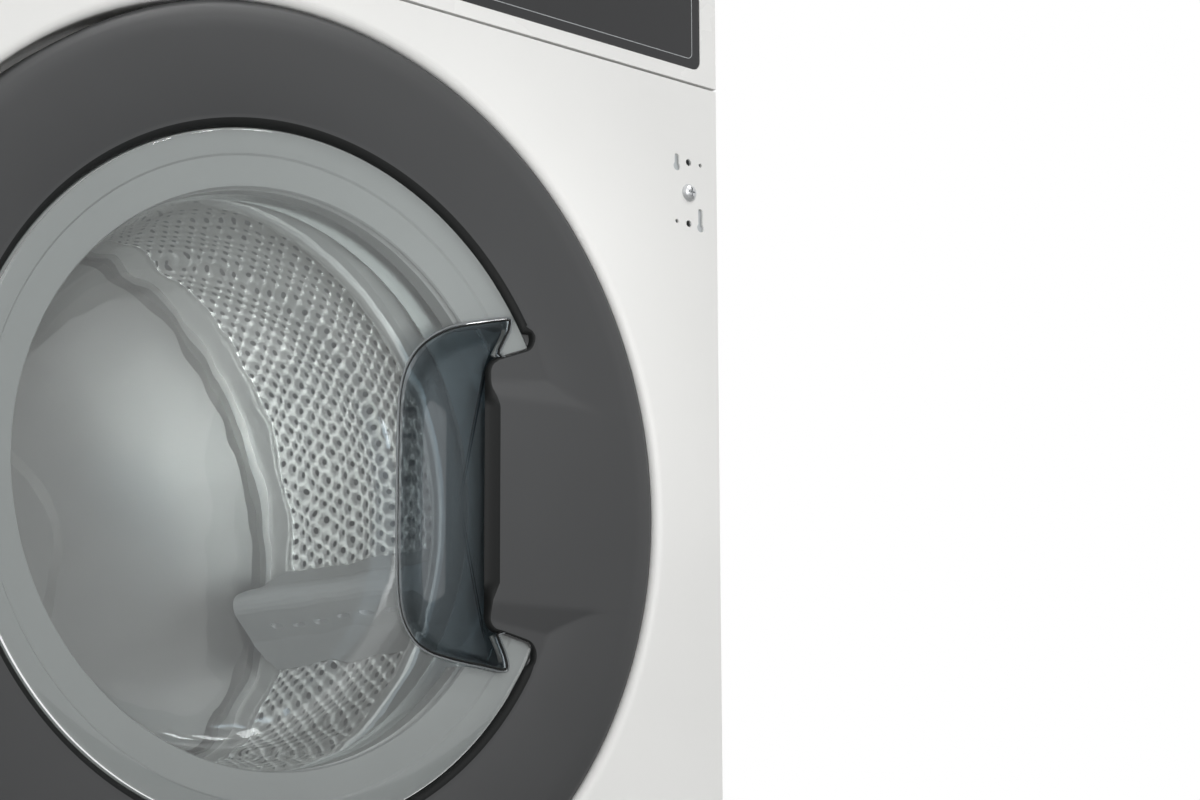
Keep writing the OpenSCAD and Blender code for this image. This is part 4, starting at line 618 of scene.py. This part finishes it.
pocket = {"outline": [(143.6, 95.7), (144.2, 102.6), (136.7, 101.6), (124.5, 98.4), (111.3, 94.8),
                      (100.8, 91.0), (91.5, 86.0), (83.8, 80.3), (77.2, 73.2), (72.4, 64.8), (69.5, 55.4),
                      (68.2, 45.0), (67.8, 28.0), (67.8, 0.0), (68.1, -28.0), (69.0, -50.0),
                      (70.6, -63.2), (74.6, -73.2), (82.0, -81.6), (91.5, -86.2), (101.5, -88.4),
                      (113.9, -90.3), (127.0, -91.6), (143.4, -93.0), (143.0, -84.9)],
          "underGrip": [(137.2, -73.8), (168.0, -60.0), (171.5, 0.0), (168.0, 64.0), (136.2, 82.4)],
          "steps": 240, "inset": -0.5, "rim": 7.7, "floor": 27.3, "wall": 2.0, "flare": 0.4, "ease": 0.35,
          "left": 68, "slopeEnd": 100.0, "narrowX": 0.605, "narrowZ": 0.9, "middle": 126,
          "slopeRows": 14, "floorRows": 3, "cutFront": -10}
beads = {"pocketSeal": {"radius": 0.5, "shift": 0.45, "depth": 7.3,
                        "slot": "frame_plastic", "look": "sealGrey"},
         # pocketGap is a black bead of painted shade, laid in the gap inside the pocket's rim
         "pocketGap": {"radius": 0.6, "shift": -0.9, "depth": 7.4,
                       "slot": "ring_plastic", "look": "shadeBlack"}}


def pocketLine(grow=0.0):  # the closed outline with its outward normals, set out by grow
    corners = smoothLine(pocket["outline"], 5) + pocket["underGrip"]
    spots = evenly(corners + [corners[0]], pocket["steps"])[:-1]
    normals = [normalAt(spots, i) for i in range(len(spots))]
    return [(x + nx * grow, z + nz * grow, nx, nz) for (x, z), (nx, nz) in zip(spots, normals)]


def cutPocket(piece, grow, back):  # opens a piece of the door for the pocket
    cutWith(piece, prism([spot[:2] for spot in pocketLine(grow)], pocket["cutFront"], back))


def makePocket():
    line = pocketLine(pocket["inset"])
    rim, floor, ease = pocket["rim"], pocket["floor"], pocket["ease"]
    slopeRows, floorRows = pocket["slopeRows"], pocket["floorRows"]
    side = slopeRows + floorRows

    def sheet(u, t, thick):  # t runs from 0 at the rim over 1 at the floor to 2 at the middle
        x, z, nx, nz = line[u % len(line)]
        endX, endZ = pocket["slopeEnd"] + (x - pocket["left"]) * pocket["narrowX"], z * pocket["narrowZ"]
        if t <= 1:
            fall = ease * t + (1 - ease) * t * t * (3 - 2 * t)
            out = thick * pocket["flare"]
            return (x + (endX - x) * t + nx * out, rim + thick * pocket["wall"] + (floor - rim) * fall,
                    z + (endZ - z) * t + nz * out)
        share = t - 1
        return endX + (pocket["middle"] - endX) * share, floor + thick * pocket["wall"], endZ * (1 - share)

    def spotAt(u, v):
        if v <= side:  # the front skin, from the middle out to the rim
            stop = 2 - v / floorRows if v < floorRows else 1 - (v - floorRows) / slopeRows
            return place(*sheet(u, stop, 0))
        v -= side + 1  # the rear skin, from the rim back to the middle
        stop = v / slopeRows if v <= slopeRows else 1 + (v - slopeRows) / floorRows
        return place(*sheet(u, stop, 1))

    piece = wrapGrid("fingerPocket", pocket["steps"], 2 * side + 1, spotAt)
    seat(piece, "door", "smoked_clear", clear["pocket"], "finger_pocket", angle=50)
    for name, bead in beads.items():
        piece = sweptLip(name, pocketLine(), bead["radius"], bead["shift"], bead["depth"])
        seat(piece, "door", bead["slot"], plastic[bead["look"]])


makePocket()
print("washer dryer: finger pocket")


# clear cover: a shallow dome with a polished round edge, and the steps of the frame that show through it

cover = {"radius": 180.4, "thick": 3.4, "edge": 1.7, "middle": 5.6, "rise": 1.9, "rings": 12, "turns": 288,
         "edgeTurns": (20, 40, 60, 80, 100, 125, 155, 180), "cutBack": 20}
frameSteps = {"line": [(150.2, 17.0), (151.0, 15.6), (153.5, 14.9), (164.8, 14.1), (166.6, 13.9),
                       (167.6, 12.9), (169.4, 12.5), (178.6, 12.0), (180.6, 12.3), (181.4, 13.4),
                       (181.4, 15.9), (160.0, 15.9)],
              "turns": 288, "cutGrow": 0.6, "cutBack": 40}


def makeCover():
    edge, rings = cover["edge"], cover["rings"]
    last = cover["radius"] - edge
    face = [(last * i / rings, cover["middle"] + cover["rise"] * (last * i / rings / cover["radius"]) ** 2)
            for i in range(rings + 1)]
    edgeDepth = face[-1][1] + edge
    profile = list(face)
    for turn in cover["edgeTurns"]:
        profile.append((last + edge * math.sin(math.radians(turn)),
                        edgeDepth - edge * math.cos(math.radians(turn))))
    profile += [(r, depth + cover["thick"]) for r, depth in reversed(face[:-1])]
    piece = turnPiece("clearCover", profile, cover["turns"])
    cutPocket(piece, 0.0, cover["cutBack"])
    seat(piece, "door", "clear_cover", clear["cover"], "door_cover", angle=30)


def makeFrameSteps():
    piece = turnPiece("frameSteps", frameSteps["line"], frameSteps["turns"])
    cutPocket(piece, frameSteps["cutGrow"], frameSteps["cutBack"])
    seat(piece, "door", "frame_plastic", plastic["frameNylon"], angle=14)


makeCover()
makeFrameSteps()
print("washer dryer: cover and frame")


# glass bowl: pressed, with a steep wall, a rounded floor and the soft waves of the mould

bowl = {"flange": [(172.0, 31.0), (172.0, 34.5)],
        "outer": [(160.0, 35.2), (156.6, 38.0), (155.2, 48.0), (152.6, 62.0), (147.5, 77.0), (140.0, 89.0),
                  (129.0, 98.5), (114.0, 103.6), (92.0, 105.8), (60.0, 107.2), (30.0, 107.8), (0.0, 108.0)],
        "inner": [(0.0, 104.0), (30.0, 103.8), (60.0, 103.2), (91.5, 101.8), (113.0, 99.7), (127.0, 94.6),
                  (137.0, 86.2), (144.0, 75.0), (148.7, 61.0), (151.2, 48.0), (151.8, 36.0), (153.6, 31.6),
                  (156.0, 31.0)],
        "curveSteps": 5, "turns": 192, "thick": 4.0,
        "slopeTop": 150.0, "slopeStart": 40.0, "slope": 0.84, "soft": 9.0, "onOuter": 0.2}


def slopeBowl(piece, outer):  # the upper part is cut off aslant, with a rounded crease
    for vertex in piece.data.vertices:
        x, z = vertex.co.x / mm, (vertex.co.z - doorZ) / mm
        depth = (vertex.co.y - frontY) / mm
        if depth < bowl["slopeStart"] - bowl["thick"]:
            continue
        r = math.hypot(x, z)
        isOuter = min(math.hypot(r - a, depth - b) for a, b in outer) < bowl["onOuter"]
        plane = bowl["slopeStart"] + max(0.0, bowl["slopeTop"] - z) * bowl["slope"]
        plane -= 0 if isOuter else bowl["thick"]
        vertex.co.y = frontY + softLower(depth, plane, bowl["soft"]) * mm


def makeBowl():
    outerLine, innerLine = (smoothLine(bowl[side], bowl["curveSteps"]) for side in ("outer", "inner"))
    profile = bowl["flange"] + [tuple(spot) for spot in outerLine + innerLine]
    piece = turnPiece("glassBowl", profile, bowl["turns"])
    slopeBowl(piece, outerLine)
    seat(piece, "door", "bowl_glass", clear["bowl"], "door_bowl", angle=40)


makeBowl()
print("washer dryer: glass bowl")


# drum wall: hexagonal dimples, each with a drain hole, between two plain bands with a bead

drumWall = {"across": 138, "rows": 12, "sheet": 1.2, "bead": 2.0, "pitDepth": 1.1, "holeShare": 0.19,
            "midShare": 0.34, "midDepth": 0.55,
            "band": [(0, 0), (24, 0), (27, 1), (33, 1), (36, 0), (39, 0)]}  # along, and share of the bead


def dimplePair(pitch, rowStep):  # two dimples of neighbouring rows, laid flat
    unit = bmesh.new()

    def circle(cx, cy, radius, start, count, depth):
        spots = [arcPoint(cx, cy, radius, start + 360 / count * i) for i in range(count)]
        return [unit.verts.new((*spot, depth)) for spot in spots]

    deep = drumWall["pitDepth"]
    for cx, cy in ((0, 0), (pitch / 2, rowStep)):
        rim = circle(cx, cy, pitch / math.sqrt(3), 30, 6, 0.0)
        mid = circle(cx, cy, pitch * drumWall["midShare"], 0, 12, drumWall["midDepth"] * deep)
        hole = circle(cx, cy, pitch * drumWall["holeShare"], 0, 12, deep)
        for i in range(12):
            j = (i + 1) % 12
            unit.faces.new((hole[i], mid[i], mid[j], hole[j]))
        for i in range(6):  # corner i of the rim lies at 30 + 60 i degrees, beside mid points 2i + 1
            a, b = rim[i], rim[(i + 1) % 6]
            before, between, after = mid[2 * i + 1], mid[(2 * i + 2) % 12], mid[(2 * i + 3) % 12]
            unit.faces.new((a, between, before))
            unit.faces.new((a, b, between))
            unit.faces.new((b, after, between))
    mesh = bpy.data.meshes.new("drumWall")
    unit.to_mesh(mesh)
    unit.free()
    return mesh


def makeDrumWall():
    r = (shellHigh.x - shellLow.x) / 2 / mm - drumWall["bead"] - drumWall["sheet"]  # inner face
    front = (shellLow.y - frontY) / mm
    length = (shellHigh.y - shellLow.y) / mm
    pitch = 2 * math.pi * r / drumWall["across"]
    rowStep = pitch * math.sqrt(3) / 2
    piece = bpy.data.objects.new("drumWall", dimplePair(pitch, rowStep))
    bpy.context.scene.collection.objects.link(piece)
    pick(piece)
    for name, count, step in (("round", drumWall["across"], (pitch, 0, 0)),
                              ("along", drumWall["rows"], (0, 2 * rowStep, 0))):
        array = piece.modifiers.new(name, "ARRAY")
        array.count = count
        array.use_relative_offset = False
        array.use_constant_offset = True
        array.constant_offset_displace = step
        bpy.ops.object.modifier_apply(modifier=name)
    start = front + (length - drumWall["rows"] * 2 * rowStep) / 2
    for vertex in piece.data.vertices:  # rolls the flat sheet up
        turn = vertex.co.x / r
        out = r + vertex.co.z
        vertex.co = place(out * math.sin(turn), start + rowStep / 2 + vertex.co.y, out * math.cos(turn))
    bpy.ops.object.mode_set(mode="EDIT")
    bpy.ops.mesh.select_all(action="SELECT")
    bpy.ops.mesh.remove_doubles(threshold=weld["pits"])
    bpy.ops.object.mode_set(mode="OBJECT")
    seat(piece, "drum", "stainless_drum", drumSteel["pressed"], angle=60)
    for name, end, side, nodes in (("drumRimFront", front, 1, ["drum_shell"]),
                                   ("drumRimBack", front + length, -1, [])):
        run = [(end + side * along, share * drumWall["bead"]) for along, share in drumWall["band"]]
        profile = [(r + drumWall["sheet"] + up, depth) for depth, up in run]
        profile += [(r + up, depth) for depth, up in reversed(run)]
        band = turnPiece(name, profile)
        seat(band, "drum", "stainless_drum", drumSteel["pressed"], *nodes)


makeDrumWall()
print("washer dryer: drum wall")


# rubber and springs between the cabinet and the sprung tub

gasket = {"line": [(199, 33.8), (186.5, 33.8), (186.5, 47), (178, 51.5), (164.8, 55), (156.8, 58),
                   (158.3, 61), (183, 66), (189.5, 71.5), (188, 79), (185.7, 82.5), (185.7, 83.7),
                   (188.3, 83.7), (188.3, 91.5), (191.3, 91.5), (191.3, 82), (193.5, 73), (192, 68.5),
                   (187, 62.5), (179, 58.5), (182, 55), (190, 51), (196, 49), (196, 37.7),
                   (191.5, 37.7), (191.5, 46.3), (189.7, 46.3), (189.7, 36), (199, 36)],
          "step": 3, "turns": 192, "smooth": 50, "stillDepth": 60, "movingDepth": 76}
bends = {"clampShare": 0.2, "smooth": 35}  # smooth is the shading angle of the copies in degrees


def makeGasket():
    line = []
    for a, b in zip(gasket["line"], gasket["line"][1:] + gasket["line"][:1]):
        parts = max(1, round(math.dist(a, b) / gasket["step"]))  # the profile cut into short, even steps
        line += [(a[0] + (b[0] - a[0]) * k / parts, a[1] + (b[1] - a[1]) * k / parts) for k in range(parts)]
    piece = turnPiece("rubberGasket", line, gasket["turns"])
    pick(piece)
    bpy.ops.object.shade_smooth_by_angle(angle=math.radians(gasket["smooth"]))
    bpy.ops.object.transform_apply(location=True, rotation=True, scale=True)
    piece.data.materials.append(plastic["greyEpdm"])
    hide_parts("gasket")
    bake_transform(piece)


def bendCopy(node, name, finish, keep=None):  # an upright piece with an end on the tub
    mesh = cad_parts[node].data.copy()
    piece = bpy.data.objects.new(name, mesh)
    bpy.context.scene.collection.objects.link(piece)
    pick(piece)
    bpy.ops.object.mode_set(mode="EDIT")
    bpy.ops.mesh.select_all(action="SELECT")
    bpy.ops.mesh.remove_doubles(threshold=weld["grid"])
    bpy.ops.mesh.select_all(action="DESELECT")
    bpy.ops.object.mode_set(mode="OBJECT")
    if keep:
        for vertex in mesh.vertices:
            vertex.select = not keep(vertex.co)
        bpy.ops.object.mode_set(mode="EDIT")
        bpy.ops.mesh.delete(type="VERT")
        bpy.ops.object.mode_set(mode="OBJECT")
    bpy.ops.object.shade_smooth_by_angle(angle=math.radians(bends["smooth"]))
    mesh.materials.clear()
    mesh.materials.append(finish)
    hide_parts(node)
    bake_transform(piece)


makeGasket()
bendCopy("springs", "tubSprings", metal["steel"])
bendCopy("tub_hoses", "fillHose", plastic["blackEpdm"], lambda co: co.z > doorZ)
bendCopy("tub_hoses", "sumpHose", plastic["blackEpdm"], lambda co: co.z < doorZ)
print("washer dryer: rubber and springs")


# hinge plates: pressed steel behind the four hole patterns of the front

hingePlate = {"halfWide": 13.6, "halfHigh": 26.0, "front": 1.3, "back": 3.6, "side": 23.2, "rise": 199.0,
              "cutBack": 6, "holeOut": 9.7, "holeUp": 19.0,  # each hole: out, up, radius
              "holes": [(0, 0, 2.3), (0, 1, 2.1), (0, -1, 2.1), (1, 1, 1.3), (-1, -1, 1.3)]}


def makeHingePlates():
    w, up = hingePlate["halfWide"], hingePlate["halfHigh"]
    plates = []
    for sx in (-1, 1):
        for sz in (-1, 1):
            x, z = sx * (panelHigh.x / mm - hingePlate["side"]), sz * hingePlate["rise"]
            plate = prism([(x - w, z - up), (x + w, z - up), (x + w, z + up), (x - w, z + up)],
                          hingePlate["front"], hingePlate["back"])
            for across, along, r in hingePlate["holes"]:
                holeX, holeZ = x + sx * across * hingePlate["holeOut"], z + along * hingePlate["holeUp"]
                cutWith(plate, disc(holeX, holeZ, r, 0, hingePlate["cutBack"]))
            plates.append(plate)
    seat(joined(plates, "hingePlates"), "cabinet", "zinc_sheet", zinc)


makeHingePlates()
print("washer dryer: hinge plates")


# control insert: a fine line inside its edge, ticks round the knob, a dot over each button

insertLow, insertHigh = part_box("control_insert")
knobLow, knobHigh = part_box("program_knob")
prints = {"inset": 6.0, "line": 0.45, "corner": 4.0, "cornerSteps": 6, "front": 0.04, "back": 0.02,
          "past": 1, "tickCount": 24, "tickGap": 3.2, "tickLong": 2.4, "tickWide": 0.6, "longEach": 6,
          "longShare": 1.6, "dot": 1.0, "dotRise": 4.5}


def rounded(x0, z0, x1, z1, r):  # outline of a rectangle with round corners
    corners = [(x1 - r, z1 - r, 0), (x0 + r, z1 - r, 90), (x0 + r, z0 + r, 180), (x1 - r, z0 + r, 270)]
    return [spot for x, z, a in corners for spot in arcPoints(x, z, r, a, a + 90, prints["cornerSteps"])]


def makePrints():
    face = (insertLow.y - frontY) / mm
    front, back = face - prints["front"], face + prints["back"]
    left, right = insertLow.x / mm + prints["inset"], insertHigh.x / mm - prints["inset"]
    low, top = (insertLow.z - doorZ) / mm + prints["inset"], (insertHigh.z - doorZ) / mm - prints["inset"]
    line, corner = prints["line"], prints["corner"]
    frameLine = prism(rounded(left, low, right, top, corner), front, back)
    cutWith(frameLine, prism(rounded(left + line, low + line, right - line, top - line, corner - line),
                             front - prints["past"], back + prints["past"]))
    marks = [frameLine]
    knobX, knobZ = (knobLow.x + knobHigh.x) / 2 / mm, ((knobLow.z + knobHigh.z) / 2 - doorZ) / mm
    start = (knobHigh.x - knobLow.x) / 2 / mm + prints["tickGap"]
    w = prints["tickWide"] / 2
    for k in range(prints["tickCount"]):
        turn = 2 * math.pi * k / prints["tickCount"]
        ca, sa = math.cos(turn), math.sin(turn)
        end = start + prints["tickLong"] * (prints["longShare"] if k % prints["longEach"] == 0 else 1.0)
        corners = [(knobX + r * ca - side * sa, knobZ + r * sa + side * ca)
                   for r, side in ((start, w), (start, -w), (end, -w), (end, w))]
        marks.append(prism(corners, front, back))
    for button in ("on_off_button", "start_button"):
        buttonLow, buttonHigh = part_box(button)
        marks.append(disc((buttonLow.x + buttonHigh.x) / 2 / mm,
                          (buttonHigh.z - doorZ) / mm + prints["dotRise"], prints["dot"], front, back))
    seat(joined(marks, "insertPrint"), "cabinet", "dark_insert", paleInk)


makePrints()
print("washer dryer: control marks")


# light, floor and camera

lamps = {  # places and sizes in metres
    "frontKey": {"at": (-1.0, -3.0, 1.0), "to": (0, -0.26, 0.45), "size": (2.2, 2.2), "watts": 49},
    "topSoft": {"at": (0.1, -1.2, 3.0), "to": (0, -0.2, 0.4), "size": (2.4, 1.6), "watts": 4},
    "windowLeft": {"at": (0.5, -1.7, 2.7), "to": (0, -0.16, 0.38), "size": (0.14, 0.5), "watts": 5},
    "windowMid": {"at": (0.85, -1.7, 2.7), "to": (0, -0.16, 0.38), "size": (0.14, 0.5), "watts": 5},
    "windowRight": {"at": (1.2, -1.7, 2.7), "to": (0, -0.16, 0.38), "size": (0.14, 0.5), "watts": 5},
}
drumFill = {"at": (-0.75, -1.6, 0.08), "to": (60, 60, 60), "watts": 95, "cone": 10.5, "blend": 0.4,
            "soft": 0.12}
room = {"dim": 0.2, "bright": 1.0, "floor": "#F4F4F3", "rough": 0.8, "wide": 14, "drop": 0.0005,
        "glow": 0.35}


def hang(name, data, spot, turn):  # puts a lamp or the camera in the scene
    holder = bpy.data.objects.new(name, data)
    bpy.context.scene.collection.objects.link(holder)
    holder.location = spot
    holder.rotation_euler = turn
    return holder


def aim(spot, goal):
    return (Vector(goal) - Vector(spot)).to_track_quat("-Z", "Y").to_euler()


def makeLamps():
    for name, look in lamps.items():
        lamp = bpy.data.lights.new(name, "AREA")
        lamp.shape = "RECTANGLE"
        lamp.size, lamp.size_y = look["size"]
        lamp.energy = look["watts"]
        hang(name, lamp, look["at"], aim(look["at"], look["to"]))
    lamp = bpy.data.lights.new("drumFill", "SPOT")  # shines through the door into the drum alone
    lamp.energy = drumFill["watts"]
    lamp.spot_size = math.radians(drumFill["cone"])
    lamp.spot_blend = drumFill["blend"]
    lamp.shadow_soft_size = drumFill["soft"]
    hang("drumFill", lamp, drumFill["at"], aim(drumFill["at"], place(*drumFill["to"])))


def makeWorld():  # white where it is seen, dim as a light
    world = bpy.data.worlds.new("studio")
    bpy.context.scene.world = world
    world.use_nodes = True
    tree = world.node_tree
    path = addNode(tree, "ShaderNodeLightPath")
    straight = combine(tree, "MAXIMUM", path.outputs["Is Camera Ray"], path.outputs["Is Transmission Ray"])
    seen = combine(tree, "MAXIMUM", straight, path.outputs["Is Glossy Ray"])
    strength = addNode(tree, "ShaderNodeMapRange", {"To Min": room["dim"], "To Max": room["bright"]},
                       {"Value": seen})
    back = tree.nodes["Background"]
    back.inputs["Color"].default_value = (1, 1, 1, 1)
    tree.links.new(strength.outputs[0], back.inputs["Strength"])


def makeFloor():
    pickNothing()
    bpy.ops.mesh.primitive_plane_add(size=room["wide"], location=(0, 0, -room["drop"]))
    floor = bpy.context.object
    floor.name = "floor"
    m, tree, shader = startMaterial("pale_studio_floor", room["floor"], {"Roughness": room["rough"]})[:3]
    path = addNode(tree, "ShaderNodeLightPath")
    glow = addNode(tree, "ShaderNodeMath", {"operation": "MULTIPLY", 1: room["glow"]},
                   {0: path.outputs["Is Camera Ray"]})
    shader.inputs["Emission Color"].default_value = (1, 1, 1, 1)
    tree.links.new(glow.outputs[0], shader.inputs["Emission Strength"])
    floor.data.materials.append(m)


view = {"focalPx": 2355.4, "widthPx": 1200, "sensorMm": 36, "yaw": 40.92, "pitch": 11.19,
        "spot": (-657.0, -993.2, -196.6), "clipStart": 0.05}  # spot as place() takes it, angles in degrees


def makeCamera():
    data = bpy.data.cameras.new("camera")
    data.sensor_width = view["sensorMm"]
    data.lens = view["focalPx"] / view["widthPx"] * view["sensorMm"]
    data.clip_start = view["clipStart"]
    turn = (math.radians(90 + view["pitch"]), 0, -math.radians(view["yaw"]))
    bpy.context.scene.camera = hang("camera", data, place(*view["spot"]), turn)


makeWorld()
makeLamps()
makeFloor()
makeCamera()
bpy.context.scene.view_settings.view_transform = "Standard"

print("washer dryer: done")
